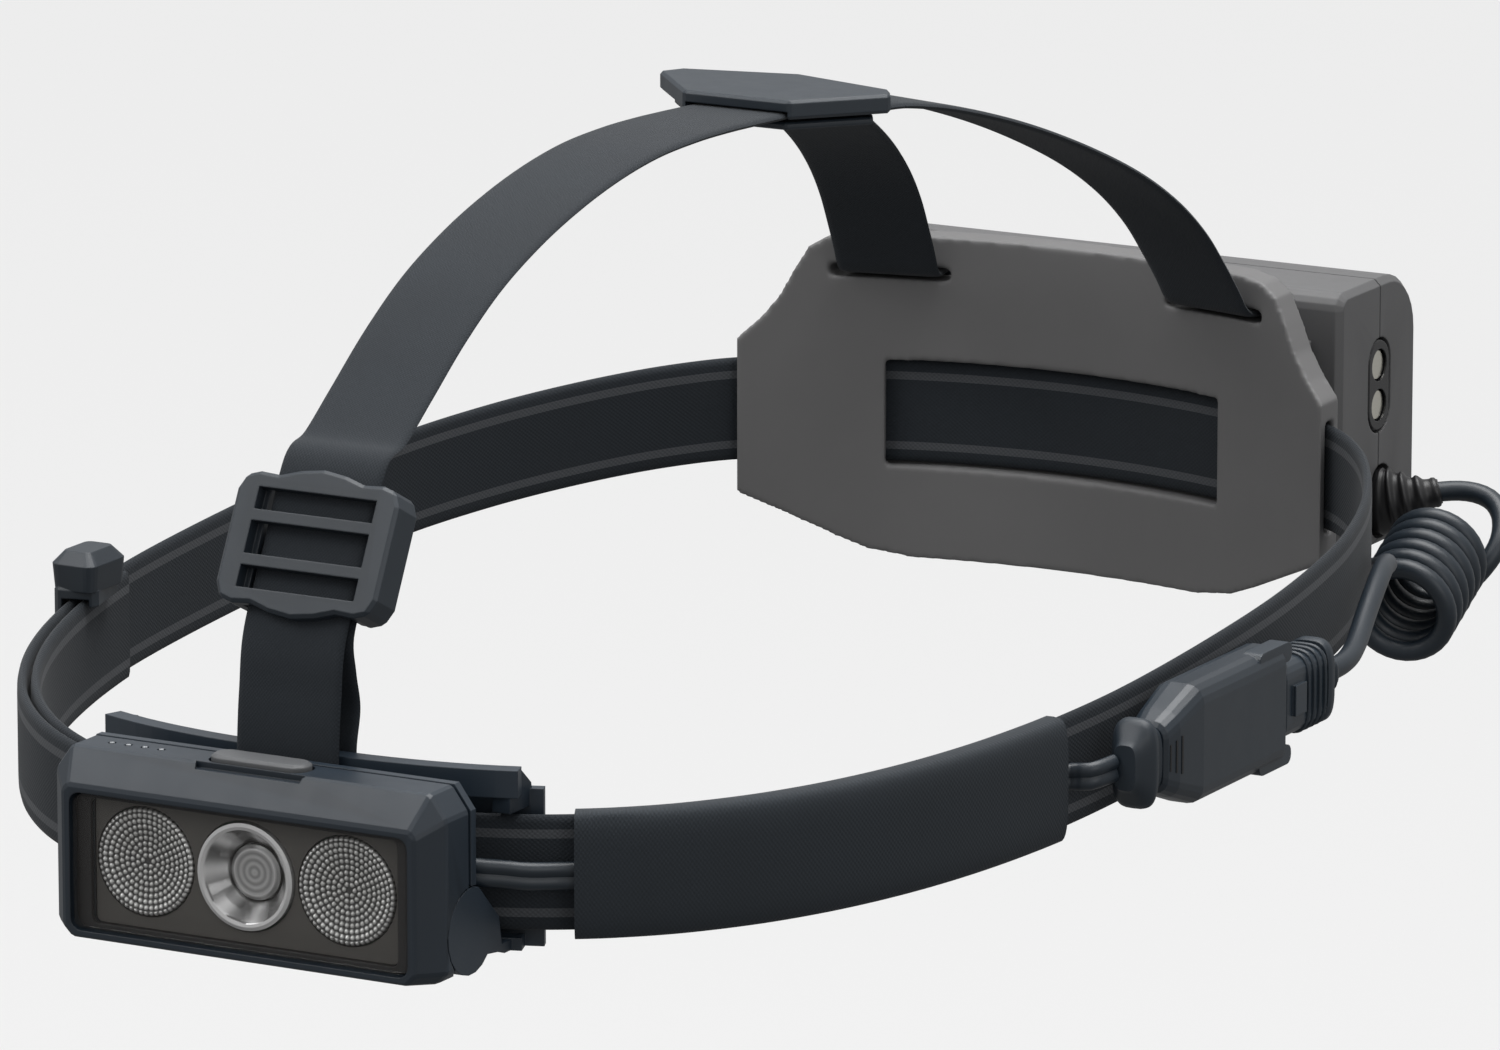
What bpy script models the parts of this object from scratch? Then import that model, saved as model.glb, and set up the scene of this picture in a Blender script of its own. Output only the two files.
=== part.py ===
"""Headlamp with a rear battery pack, as an assembly of separate pieces.

Axes: +Z is up, the lamp looks along -Y, the charging port side is +X.
The origin is the middle of the space for the head, level with the middle of the headband.
Dimensions are written in millimetres; every mesh is built in metres.
"""
import math

import bmesh
import bpy
from mathutils import Matrix, Vector

MM = 0.001

# Headband: a closed loop seen from above, lower at the front than at the back.
RING_HALF_WIDTH = 80.7
RING_HALF_LENGTH = 112.3
RING_POWER = 2.48
RING_SLOPE = 0.069
BAND_WIDTH = 16.0
BAND_THICK = 1.4
LAYER_SHIFT = 0.95

# Lamp head.
LAMP_FRONT = -129.5
LAMP_SPLIT_FRONT = -120.0
LAMP_SPLIT_REAR = -119.7
LAMP_REAR = -117.8
LAMP_HALF_WIDTH = 30.5
LAMP_TOP = 7.0
LAMP_BOTTOM = -19.0
OPTIC_PITCH = 15.75
OPTIC_Z = -7.6
OPTIC_RADIUS = 7.45
TILT_Y = -119.6
TILT_Z = -13.0
CHEEK_RADIUS = 6.0
BUTTON_Y = -122.85

# Overhead straps.
STRAP_WIDTH = 16.0
STRAP_THICK = 1.0
HUB_TOP = 75.8
HUB_BOTTOM = 73.0
BUCKLE_Y = -108.6
BUCKLE_Z = 33.6
BUCKLE_LEAN = math.radians(63.0)

# Rear pad, curved round a vertical axis behind the middle of the head.
PAD_RADIUS = 108.0
PAD_THICK = 5.4
PAD_CENTRE_Y = 1.5

# Battery case.
CASE_HALF_WIDTH = 42.0
CASE_FRONT = 119.5
CASE_SPLIT_FRONT = 132.85
CASE_SPLIT_REAR = 133.15
CASE_REAR = 145.8
CASE_TOP = 30.3
CASE_BOTTOM = -11.0
CASE_WALL = 1.8
CELL_RADIUS = 9.2
CELL_LENGTH = 65.0
CELL_Y = 133.6

# Cord and its connector.
CORD_DIAMETER = 3.1
COIL_DIAMETER = 16.7
COIL_FRONT = (58.2, 108.0, -14.6)
COIL_REAR = (55.2, 127.5, -9.0)
PLUG_X = 86.2
PLUG_Z = -2.0

NAVY = (0.030, 0.040, 0.052)
STRAP_NAVY = (0.016, 0.022, 0.033)
GREY = (0.095, 0.095, 0.098)
BLACK = (0.012, 0.012, 0.013)
STEEL = (0.60, 0.60, 0.60)
BOARD_GREEN = (0.02, 0.12, 0.05)
CLEAR = (0.80, 0.82, 0.84)

for old_object in list(bpy.data.objects):
    bpy.data.objects.remove(old_object, do_unlink=True)


# ---------------------------------------------------------------- mesh helpers

def material(name, colour, roughness, metallic=0.0):
    """A plain Principled material named after its piece."""
    look = bpy.data.materials.new(name)
    look.use_nodes = True
    shader = look.node_tree.nodes["Principled BSDF"]
    shader.inputs["Base Color"].default_value = (*colour, 1.0)
    shader.inputs["Roughness"].default_value = roughness
    shader.inputs["Metallic"].default_value = metallic
    return look


def put(name, shape, colour=None, roughness=0.5, metallic=0.0):
    """Turn a bmesh built in millimetres into a linked object in metres."""
    bmesh.ops.recalc_face_normals(shape, faces=shape.faces)
    bmesh.ops.scale(shape, vec=Vector((MM, MM, MM)), verts=shape.verts)
    mesh = bpy.data.meshes.new(name)
    shape.to_mesh(mesh)
    shape.free()
    mesh.shade_smooth()
    mesh.set_sharp_from_angle(angle=math.radians(32.0))
    piece = bpy.data.objects.new(name, mesh)
    bpy.context.scene.collection.objects.link(piece)
    if colour is not None:
        mesh.materials.append(material(name, colour, roughness, metallic))
    return piece


def loft(sections, closed=False):
    """Skin a list of equal-length point loops; the ends are capped unless it closes."""
    shape = bmesh.new()
    rows = [[shape.verts.new(Vector(point)) for point in section] for section in sections]
    pairs = list(zip(rows, rows[1:]))
    if closed:
        pairs.append((rows[-1], rows[0]))
    for lower, upper in pairs:
        for index in range(len(lower)):
            after = (index + 1) % len(lower)
            shape.faces.new((lower[index], lower[after], upper[after], upper[index]))
    if not closed:
        shape.faces.new(rows[0][::-1])
        shape.faces.new(rows[-1])
    return shape


def placed(plane, u, v, w):
    """A point from its two outline coordinates and its height off the plane."""
    if plane == "xz":
        return (u, w, v)
    if plane == "yz":
        return (w, u, v)
    return (u, v, w)


def prism(outline, plane, low, high):
    """An outline in the xz, yz or xy plane pulled between two heights."""
    return loft([[placed(plane, u, v, height) for u, v in outline] for height in (low, high)])


def tapered(outlines, plane, heights):
    """Several outlines of one plane skinned at the given heights."""
    return loft([[placed(plane, u, v, height) for u, v in outline]
                 for outline, height in zip(outlines, heights)])


def rounded(centre_u, centre_v, half_u, half_v, radius, steps=4):
    """Outline of a rectangle with rounded corners."""
    outline = []
    corners = ((1, 1, 0), (-1, 1, 90), (-1, -1, 180), (1, -1, 270))
    for sign_u, sign_v, start in corners:
        for step in range(steps + 1):
            angle = math.radians(start + 90.0 * step / steps)
            outline.append((centre_u + sign_u * (half_u - radius) + radius * math.cos(angle),
                            centre_v + sign_v * (half_v - radius) + radius * math.sin(angle)))
    return outline


def circle(centre_u, centre_v, radius, steps=24):
    """Outline of a circle."""
    return [(centre_u + radius * math.cos(math.tau * step / steps),
             centre_v + radius * math.sin(math.tau * step / steps)) for step in range(steps)]


def lathe(profile, centre_x, centre_z, steps=32, ring=False):
    """Turn (radius, y) points round an axis along Y; a ring profile closes on itself."""
    sections = [[(centre_x + radius * u, y, centre_z + radius * v)
                 for u, v in circle(0.0, 0.0, 1.0, steps)] for radius, y in profile]
    return loft(sections, closed=ring)


def box(low, high):
    """A box between two corners."""
    outline = [(low[0], low[1]), (high[0], low[1]), (high[0], high[1]), (low[0], high[1])]
    return prism(outline, "xy", low[2], high[2])


def bevel(piece, width, segments=1, angle=40.0):
    """Round the edges sharper than the given angle."""
    modifier = piece.modifiers.new("Edges", "BEVEL")
    modifier.width = width * MM
    modifier.segments = segments
    modifier.limit_method = "ANGLE"
    modifier.angle_limit = math.radians(angle)


def combine(piece, shape, operation, label):
    """Cut, join or keep the common part with a helper solid."""
    tool = put(piece.name + "_" + label, shape)
    tool.hide_render = True
    tool.display_type = "WIRE"
    modifier = piece.modifiers.new(label, "BOOLEAN")
    modifier.operation = operation
    modifier.solver = "EXACT"
    modifier.object = tool


def cut(piece, shape, label):
    combine(piece, shape, "DIFFERENCE", label)


def join(piece, shape, label):
    combine(piece, shape, "UNION", label)


# ------------------------------------------------------------------- headband

def ring_outline():
    """Right half of the headband's middle line seen from above, front to back."""
    points = []
    for degrees in (0, 4, 8, 12, 16, 21, 27, 34, 42, 50, 58, 66, 74, 82, 90, 98):
        angle = math.radians(degrees)
        across = max(math.sin(angle), 0.0) ** (2.0 / RING_POWER)
        along = abs(math.cos(angle)) ** (2.0 / RING_POWER)
        sign = -1.0 if degrees < 90 else 1.0
        points.append((RING_HALF_WIDTH * across, sign * RING_HALF_LENGTH * along))
    points += [(77.4, 45.0), (73.6, 60.5), (69.0, 73.0), (63.3, 84.5), (57.4, 93.2)]
    middle = PAD_RADIUS + PAD_THICK / 2.0
    for x in (50.5, 42.0, 33.0, 24.0, 16.0, 8.0, 0.0):
        points.append((x, PAD_CENTRE_Y + math.sqrt(middle * middle - x * x)))
    return points


def smooth_curve(points, per_span=6, closed=False):
    """Catmull-Rom curve through the points."""
    count = len(points)
    curve = []
    spans = count if closed else count - 1
    for index in range(spans):
        if closed:
            p0, p1, p2, p3 = (Vector(points[(index + k) % count]) for k in (-1, 0, 1, 2))
        else:
            p0, p1, p2, p3 = (Vector(points[min(max(index + k, 0), count - 1)])
                              for k in (-1, 0, 1, 2))
        for step in range(per_span):
            t = step / per_span
            curve.append(0.5 * (2.0 * p1 + (p2 - p0) * t + (2.0 * p0 - 5.0 * p1 + 4.0 * p2 - p3)
                                * t * t + (3.0 * p1 - p0 - 3.0 * p2 + p3) * t ** 3))
    if not closed:
        curve.append(Vector(points[-1]))
    return curve


half = ring_outline()
loop_points = half + [(-x, y) for x, y in half[-2:0:-1]]
RING = smooth_curve([(x, y, 0.0) for x, y in loop_points], closed=True)
RING_LENGTHS = [0.0]
for here, there in zip(RING, RING[1:] + RING[:1]):
    RING_LENGTHS.append(RING_LENGTHS[-1] + (there - here).length)
RING_TOTAL = RING_LENGTHS[-1]


def ring_at(distance):
    """Point on the middle line at a distance from the front, going round by +X."""
    distance = distance % RING_TOTAL
    low = 0
    high = len(RING)
    while high - low > 1:
        middle = (low + high) // 2
        if RING_LENGTHS[middle] <= distance:
            low = middle
        else:
            high = middle
    share = (distance - RING_LENGTHS[low]) / (RING_LENGTHS[low + 1] - RING_LENGTHS[low])
    return RING[low].lerp(RING[(low + 1) % len(RING)], share)


def ring_point(distance, outward):
    """Point a given way outside the middle line (plan only)."""
    before = ring_at(distance - 1.0)
    after = ring_at(distance + 1.0)
    along = (after - before).normalized()
    return ring_at(distance) + Vector((along.y, -along.x, 0.0)) * outward


def ring_distance(axis, value, start, stop):
    """Distance along the loop, between two limits, where x or y takes a value."""
    best = start
    steps = 400
    for step in range(steps + 1):
        distance = start + (stop - start) * step / steps
        if abs(ring_at(distance)[axis] - value) < abs(ring_at(best)[axis] - value):
            best = distance
    return best


def ease(value, low, high):
    """0 below the low limit, 1 above the high one, smooth between."""
    share = min(max((value - low) / (high - low), 0.0), 1.0)
    return share * share * (3.0 - 2.0 * share)


def ring_slab(start, stop, inner, outer, bottom, top, step=6.0, sloped=True):
    """A slab that follows the headband; heights are from the band's middle if sloped.

    The inner and outer offsets may be numbers or functions of the distance.
    """
    count = max(int(abs(stop - start) / step), 2)
    sections = []
    for index in range(count + 1):
        distance = start + (stop - start) * index / count
        inside = inner(distance) if callable(inner) else inner
        outside = outer(distance) if callable(outer) else outer
        near = ring_point(distance, inside)
        far = ring_point(distance, outside)
        level = RING_SLOPE * ring_at(distance).y if sloped else 0.0
        sections.append([(near.x, near.y, level + bottom), (far.x, far.y, level + bottom),
                         (far.x, far.y, level + top), (near.x, near.y, level + top)])
    return loft(sections)


FRONT_RIGHT = ring_distance(0, 38.0, 0.0, 60.0)
SLEEVE_END = ring_distance(1, -44.0, 60.0, 160.0)
SLIDER_AT = ring_distance(1, -44.0, RING_TOTAL - 160.0, RING_TOTAL - 60.0)
TAIL_END = ring_distance(1, -32.5, RING_TOTAL - 180.0, RING_TOTAL - 60.0) - RING_TOTAL
OUTER_END = RING_TOTAL - 19.0


def band_shift(distance):
    """How far the strap's middle lies outside the loop: its two ends overlap on the left."""
    if distance < 60.0:
        return -LAYER_SHIFT * (1.0 - ease(distance, 0.0, 35.0))
    return LAYER_SHIFT * ease(distance, RING_TOTAL - 190.0, RING_TOTAL - 110.0)


headband = put("headband", ring_slab(
    TAIL_END, OUTER_END,
    lambda distance: band_shift(distance) - BAND_THICK / 2.0,
    lambda distance: band_shift(distance) + BAND_THICK / 2.0,
    -BAND_WIDTH / 2.0, BAND_WIDTH / 2.0), STRAP_NAVY, 0.9)

slider = put("band_slider", ring_slab(SLIDER_AT - 4.5, SLIDER_AT + 4.5, -3.3, 3.4,
                                      -9.3, 10.4, 3.0), NAVY, 0.5)
bevel(slider, 0.8)
cut(slider, ring_slab(SLIDER_AT - 8.0, SLIDER_AT + 8.0, -2.1, 2.1, -8.4, 8.4, 4.0), "band_way")
# It is open on the inside: it hooks over the band's top edge and under its outer edge.
cut(slider, ring_slab(SLIDER_AT - 8.0, SLIDER_AT + 8.0, -6.0, -1.9, -12.0, 7.4, 4.0), "inner_side")
cut(slider, ring_slab(SLIDER_AT - 8.0, SLIDER_AT + 8.0, -6.0, 1.0, -12.0, -8.3, 4.0), "lower_edge")
tab_middle = ring_point(SLIDER_AT, -0.4)
tab_level = RING_SLOPE * ring_at(SLIDER_AT).y
tab = tapered([rounded(tab_middle.x, tab_middle.y, 3.4, 4.6, 1.4),
               rounded(tab_middle.x, tab_middle.y, 3.7, 4.9, 1.6),
               rounded(tab_middle.x, tab_middle.y, 2.2, 3.4, 1.0)], "xy",
              (tab_level + 9.2, tab_level + 13.0, tab_level + 14.8))
join(slider, tab, "thumb_tab")

sleeve = put("cable_sleeve", ring_slab(FRONT_RIGHT, SLEEVE_END, -1.6, 3.8, -8.8, 8.8, 5.0),
             STRAP_NAVY, 0.95)
bevel(sleeve, 0.7)
cut(sleeve, ring_slab(FRONT_RIGHT - 4.0, SLEEVE_END + 4.0, -1.05, 3.25, -8.3, 8.3, 5.0), "bore")


# ------------------------------------------------------------------ lamp head

def lamp_outline(half_width, bottom, side_top, top, top_half, corner):
    """Eight-sided outline of the lamp seen from the front."""
    right = [(half_width, bottom + corner), (half_width, side_top), (top_half, top)]
    left = [(-u, v) for u, v in reversed(right)]
    return [(half_width - corner, bottom)] + right + left + [(corner - half_width, bottom)]


FACE = lamp_outline(27.5, -18.8, 1.5, 2.4, 26.6, 1.5)
BODY = lamp_outline(LAMP_HALF_WIDTH, LAMP_BOTTOM, 3.6, LAMP_TOP, 28.0, 1.6)
BACK = lamp_outline(29.9, -18.4, 3.3, 6.4, 27.6, 1.4)


def cheek_pockets(piece):
    """Round recesses in both sides that take the bracket's cheeks."""
    for side, label in ((-1.0, "left"), (1.0, "right")):
        pocket = prism(circle(TILT_Y, TILT_Z, CHEEK_RADIUS + 0.3, 28), "yz",
                       side * 26.2, side * 33.0)
        cut(piece, pocket, "cheek_pocket_" + label)
        bore = prism(circle(TILT_Y, TILT_Z, 1.3, 20), "yz", side * 24.4, side * 26.6)
        cut(piece, bore, "pin_bore_" + label)


front_shell = put("lamp_front_shell",
                  tapered([FACE, BODY, BODY], "xz", (LAMP_FRONT, -126.0, LAMP_SPLIT_FRONT)),
                  NAVY, 0.45)
bevel(front_shell, 0.35, angle=25.0)
cut(front_shell, prism(rounded(0.0, -8.2, 26.4, 9.6, 1.6), "xz", -132.0, -127.0), "window_seat")
cut(front_shell, prism(rounded(0.0, -8.0, 23.9, 9.1, 1.0), "xz", -127.6, -118.0), "cavity")
cut(front_shell, box((-26.0, -125.8, 0.8), (26.0, -118.0, 5.4)), "upper_cavity")
cut(front_shell, prism(rounded(0.0, BUTTON_Y, 7.8, 2.55, 2.3), "xy", 4.0, 9.0), "button_hole")
notch = [(-8.6, -125.6), (-7.2, -128.6), (7.2, -128.6), (8.6, -125.6)]
cut(front_shell, prism(notch, "xy", 6.1, 9.0), "thumb_notch")
for number in range(4):
    hole = prism(circle(-23.6 + 2.6 * number, -122.8, 0.6, 16), "xy", 4.0, 9.0)
    cut(front_shell, hole, "indicator_hole_%d" % (number + 1))
cheek_pockets(front_shell)

rear_shell = put("lamp_rear_shell",
                 tapered([BODY, BODY, BACK], "xz", (LAMP_SPLIT_REAR, -118.4, LAMP_REAR)),
                 NAVY, 0.5)
cheek_pockets(rear_shell)

SCREW_X = 27.9
SCREW_Z = 0.3
for side, label in ((-1.0, "left"), (1.0, "right")):
    bore = prism(circle(side * SCREW_X, SCREW_Z, 1.1, 20), "xz", -124.6, -117.0)
    cut(front_shell, bore, "screw_bore_" + label)
    bore = prism(circle(side * SCREW_X, SCREW_Z, 1.1, 20), "xz", -121.0, -117.0)
    cut(rear_shell, bore, "screw_bore_" + label)
    seat = prism(circle(side * SCREW_X, SCREW_Z, 1.9, 24), "xz", -118.9, -117.0)
    cut(rear_shell, seat, "screw_seat_" + label)
    screw = put("lamp_screw_" + label,
                lathe([(0.8, -124.2), (0.8, -118.6), (1.6, -118.6), (1.6, -117.9)],
                      side * SCREW_X, SCREW_Z, 20), STEEL, 0.35, 1.0)
    cut(screw, box((side * SCREW_X - 1.2, -118.25, SCREW_Z - 0.2),
                   (side * SCREW_X + 1.2, -117.0, SCREW_Z + 0.2)), "slot")
    pin = prism(circle(TILT_Y, TILT_Z, 1.0, 20), "yz", side * 24.7, side * 29.0)
    put("hinge_pin_" + label, pin, STEEL, 0.3, 1.0)

window = put("window_lens", prism(rounded(0.0, -8.2, 26.1, 9.3, 1.4), "xz", -129.2, -128.2),
             (0.16, 0.15, 0.13), 0.05)
bevel(window, 0.15)
seal = put("window_seal", prism(rounded(0.0, -8.2, 26.1, 9.3, 1.4), "xz", -127.9, -127.3),
           BLACK, 0.8)
cut(seal, prism(rounded(0.0, -8.2, 24.0, 8.7, 1.0), "xz", -129.0, -126.0), "opening")

frame_plate = put("optic_frame", prism(rounded(0.0, -8.0, 23.6, 8.8, 0.9), "xz", -127.1, -126.3),
                  (0.05, 0.048, 0.044), 0.5)
for number, label in ((-1, "left"), (0, "spot"), (1, "right")):
    hole = prism(circle(number * OPTIC_PITCH, OPTIC_Z, OPTIC_RADIUS + 0.27, 28), "xz",
                 -129.0, -125.0)
    cut(frame_plate, hole, "opening_" + label)
    x = number * OPTIC_PITCH
    led = box((x - 1.6, -123.1, OPTIC_Z - 1.6), (x + 1.6, -122.6, OPTIC_Z + 1.6))
    put("led_" + label, led, (0.85, 0.75, 0.25), 0.4)

FLOOD_PROFILE = [(6.9, -127.6), (OPTIC_RADIUS, -127.2), (OPTIC_RADIUS, -126.0),
                 (5.6, -124.6), (3.4, -123.5)]
for side, label in ((-1.0, "left"), (1.0, "right")):
    put("flood_lens_" + label, lathe(FLOOD_PROFILE, side * OPTIC_PITCH, OPTIC_Z, 28), CLEAR, 0.1)

CUP_PROFILE = [(6.9, -127.7), (OPTIC_RADIUS, -127.5), (OPTIC_RADIUS, -126.0), (6.1, -124.4),
               (5.0, -123.5), (4.25, -123.5), (4.5, -124.4), (5.5, -125.9)]
put("spot_reflector", lathe(CUP_PROFILE, 0.0, OPTIC_Z, 28, ring=True), STEEL, 0.08, 1.0)
put("spot_lens", lathe([(3.3, -125.0), (3.85, -124.6), (3.85, -124.0), (2.0, -123.7),
                        (1.9, -123.6)], 0.0, OPTIC_Z, 24), CLEAR, 0.05)

put("led_board", prism(rounded(0.0, -8.0, 23.5, 8.7, 0.9), "xz", -122.3, -121.4),
    BOARD_GREEN, 0.5)
put("heat_sink", prism(rounded(0.0, -8.0, 23.5, 8.7, 0.9), "xz", -121.1, -120.0),
    STEEL, 0.45, 1.0)
put("button_board", prism(rounded(0.0, -122.9, 19.0, 2.5, 0.8), "xy", 1.4, 2.2),
    BOARD_GREEN, 0.5)
put("button_switch", box((-2.3, BUTTON_Y - 1.6, 2.5), (2.3, BUTTON_Y + 1.6, 3.4)), BLACK, 0.5)

pipe = put("indicator_light_pipe", box((-24.6, -123.4, 4.2), (-14.8, -122.2, 5.1)), CLEAR, 0.2)
for number in range(4):
    post = prism(circle(-23.6 + 2.6 * number, -122.8, 0.35, 12), "xy", 4.8, 7.05)
    join(pipe, post, "post_%d" % (number + 1))

flange = rounded(0.0, BUTTON_Y, 8.6, 2.25, 0.6)
cap = rounded(0.0, BUTTON_Y, 7.5, 2.25, 2.1)
crown = rounded(0.0, BUTTON_Y, 7.0, 1.75, 1.6)
put("power_button", tapered([flange, flange, cap, cap, crown], "xy", (4.3, 5.1, 5.1, 7.5, 7.9)),
    GREY, 0.7)

gland = put("lamp_gland", box((20.8, -117.5, -8.3), (25.4, -115.0, -3.7)), BLACK, 0.7)
bevel(gland, 0.5)


# -------------------------------------------------------------- mount bracket

PLATE_EDGE = ring_distance(0, 34.0, 0.0, 60.0)
RAIL_EDGE = ring_distance(0, 31.5, 0.0, 60.0)
bracket = put("mount_bracket", ring_slab(-PLATE_EDGE, PLATE_EDGE, -3.7, -2.0, -18.2, 3.6,
                                         3.0, sloped=False), NAVY, 0.5)
join(bracket, ring_slab(-RAIL_EDGE, RAIL_EDGE, 0.2, 2.9, 3.4, 7.2, 3.0, sloped=False),
     "top_rail")
join(bracket, ring_slab(-RAIL_EDGE, RAIL_EDGE, -3.5, 0.7, -18.2, -16.5, 3.0, sloped=False),
     "lower_shelf")
arm_outline = [(-110.8, 1.2), (-110.8, 7.0), (-108.2, 7.0), (-105.2, 4.4), (-104.4, 1.2)]
# The arm leaves the round cheek behind the path of the lamp's lower edge, which swings up to it.
ARM_LOW = 316.0
ARM_HIGH = 70.0
ARM_STEPS = 14
cheek_outline = [(-106.6, -16.6), (-106.6, -18.1), (-110.8, -18.1), (-112.0, -17.6)]
for step in range(ARM_STEPS + 1):
    angle = math.radians(ARM_LOW + (ARM_HIGH - ARM_LOW) * step / ARM_STEPS)
    cheek_outline.append((TILT_Y + CHEEK_RADIUS * math.cos(angle),
                          TILT_Z + CHEEK_RADIUS * math.sin(angle)))
cheek_outline += [(-112.2, -12.7), (-111.5, -16.6)]
for side, label in ((-1.0, "left"), (1.0, "right")):
    join(bracket, prism(arm_outline, "yz", side * 28.6, side * 31.4), "arm_" + label)
    join(bracket, prism(cheek_outline, "yz", side * 26.6, side * 30.4), "cheek_" + label)
    cut(bracket, prism(circle(TILT_Y, TILT_Z, 1.3, 20), "yz", side * 26.0, side * 29.3),
        "pin_hole_" + label)

PAD_EDGE = ring_distance(0, 32.0, 0.0, 60.0)
forehead = put("forehead_pad", ring_slab(-PAD_EDGE, PAD_EDGE, -5.8, -4.0, -17.0, 2.4, 4.0,
                                         sloped=False), GREY, 0.85)
bevel(forehead, 0.5)


# ---------------------------------------------------------------- flat straps

def strap(path, across, width, thickness):
    """A flat strap whose middle line is the path; the across vector is its width direction."""
    sections = []
    across = Vector(across).normalized()
    for index, point in enumerate(path):
        before = path[max(index - 1, 0)]
        after = path[min(index + 1, len(path) - 1)]
        along = (after - before).normalized()
        lift = along.cross(across).normalized() * (thickness / 2.0)
        side = across * (width / 2.0)
        sections.append([point - side - lift, point + side - lift,
                         point + side + lift, point - side + lift])
    return loft(sections)


LEAN_Y = math.cos(BUCKLE_LEAN)
LEAN_Z = math.sin(BUCKLE_LEAN)
straight_top = (BUCKLE_Y + 12.0 * LEAN_Y, BUCKLE_Z + 12.0 * LEAN_Z)
straight_low = (BUCKLE_Y - 12.0 * LEAN_Y, BUCKLE_Z - 12.0 * LEAN_Z)
back_top = (BUCKLE_Y + 1.9 * LEAN_Z - 4.0 * LEAN_Y, BUCKLE_Z - 1.9 * LEAN_Y - 4.0 * LEAN_Z)
back_low = (BUCKLE_Y + 1.9 * LEAN_Z - 11.0 * LEAN_Y, BUCKLE_Z - 1.9 * LEAN_Y - 11.0 * LEAN_Z)
top_route = [(17.4, 73.2), (9.0, 73.3), (0.0, 73.8), (-8.0, 74.2), (-17.0, 74.4), (-28.0, 74.1),
             (-39.0, 72.8), (-50.0, 70.6), (-61.0, 67.5), (-72.0, 63.2), (-82.0, 57.6),
             (-91.0, 51.4), (-98.0, 46.6), straight_top, (BUCKLE_Y, BUCKLE_Z), straight_low,
             (-115.4, 15.0), (-116.0, 9.0), (-116.1, 4.2), (-115.5, 2.3), (-113.85, 1.6),
             (-112.2, 2.3), (-111.6, 4.2), (-111.4, 8.0), (-110.4, 13.0), (-111.4, 18.0),
             back_low, back_top]
top_curve = smooth_curve([(0.0, y, z) for y, z in top_route], per_span=2)
put("top_strap", strap(top_curve, (1.0, 0.0, 0.0), STRAP_WIDTH, STRAP_THICK), STRAP_NAVY, 0.9)

REAR_SPREAD = 0.22
rear_route = [(22.0, 73.2), (29.0, 72.7), (40.0, 70.4), (54.0, 66.1), (67.0, 61.0),
              (79.0, 55.2), (88.0, 49.4), (94.5, 43.6), (99.3, 37.6), (102.3, 33.4),
              (103.9, 30.9), (105.4, 29.7), (107.6, 29.4), (111.6, 29.4), (113.2, 28.7),
              (113.9, 27.2), (113.9, 25.4)]
for side, label in ((-1.0, "left"), (1.0, "right")):
    route = [(side * (8.9 + REAR_SPREAD * (y - 22.0)), y, z) for y, z in rear_route]
    put("rear_strap_" + label,
        strap(smooth_curve(route, per_span=2), (1.0, -side * REAR_SPREAD, 0.0),
              STRAP_WIDTH, STRAP_THICK), STRAP_NAVY, 0.9)

# Hub where the three overhead straps meet: a plate above them and a thinner one below.
hub_outline = [(-8.6, 8.0), (8.6, 8.0), (18.9, 19.4), (16.9, 22.8), (0.0, 27.0),
               (-16.9, 22.8), (-18.9, 19.4)]
hub = put("hub_plate", prism(hub_outline, "xy", HUB_BOTTOM, HUB_TOP), NAVY, 0.5)
bevel(hub, 0.45)
cut(hub, box((-8.3, 0.0, 70.0), (8.3, 17.8, 74.15)), "front_channel")
for side, label in ((-1.0, "left"), (1.0, "right")):
    channel = []
    for shift, along in ((-8.3, -0.4), (8.3, -0.4), (8.3, 14.0), (-8.3, 14.0)):
        start = Vector((side * 8.9, 22.0, 0.0))
        across = Vector((1.0, -side * REAR_SPREAD, 0.0)).normalized()
        onward = Vector((side * REAR_SPREAD, 1.0, 0.0)).normalized()
        corner = start + across * shift + onward * along
        channel.append((corner.x, corner.y))
    cut(hub, prism(channel, "xy", 70.0, 74.1), "rear_channel_" + label)
backing_outline = [(u * 0.86, 17.0 + (v - 17.0) * 0.86) for u, v in hub_outline]
backing = put("hub_backing", prism(backing_outline, "xy", 71.2, 72.3), NAVY, 0.5)
bevel(backing, 0.3)


def lean(shift_x, along, off):
    """A point of the buckle: across, up along the strap, and off its face towards the front."""
    return (shift_x, BUCKLE_Y + along * LEAN_Y - off * LEAN_Z,
            BUCKLE_Z + along * LEAN_Z + off * LEAN_Y)


def lean_prism(outline, low, high):
    """An outline in the buckle's plane pulled between two heights off the strap."""
    return loft([[lean(u, v, height) for u, v in outline] for height in (low, high)])


buckle_outline = [(12.6, -6.5), (12.6, 6.5), (11.6, 8.6), (9.6, 9.2), (6.6, 9.0), (3.6, 9.9),
                  (0.0, 10.4)]
buckle_outline += [(-u, v) for u, v in reversed(buckle_outline[:-1])]
lower_edge = [(-11.6, -8.6), (-9.6, -9.2), (-6.6, -9.0), (-3.6, -9.9), (0.0, -10.4),
              (3.6, -9.9), (6.6, -9.0), (9.6, -9.2), (11.6, -8.6)]
buckle_outline += lower_edge
buckle = put("strap_buckle", lean_prism(buckle_outline, -3.4, 2.6), NAVY, 0.45)
bevel(buckle, 0.5)
cut(buckle, lean_prism([(-8.4, -12.0), (8.4, -12.0), (8.4, 12.0), (-8.4, 12.0)], -2.7, 0.9),
    "strap_way")
for label, low, high in (("upper", 3.9, 7.0), ("middle", -2.3, 2.3), ("lower", -7.0, -3.9)):
    slot = [(-9.2, low), (9.2, low), (9.2, high), (-9.2, high)]
    cut(buckle, lean_prism(slot, 0.5, 4.0), label + "_opening")
cut(buckle, lean_prism([(-9.2, 2.4), (9.2, 2.4), (9.2, 12.0), (-9.2, 12.0)], -5.0, -0.9),
    "rear_upper_opening")
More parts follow.
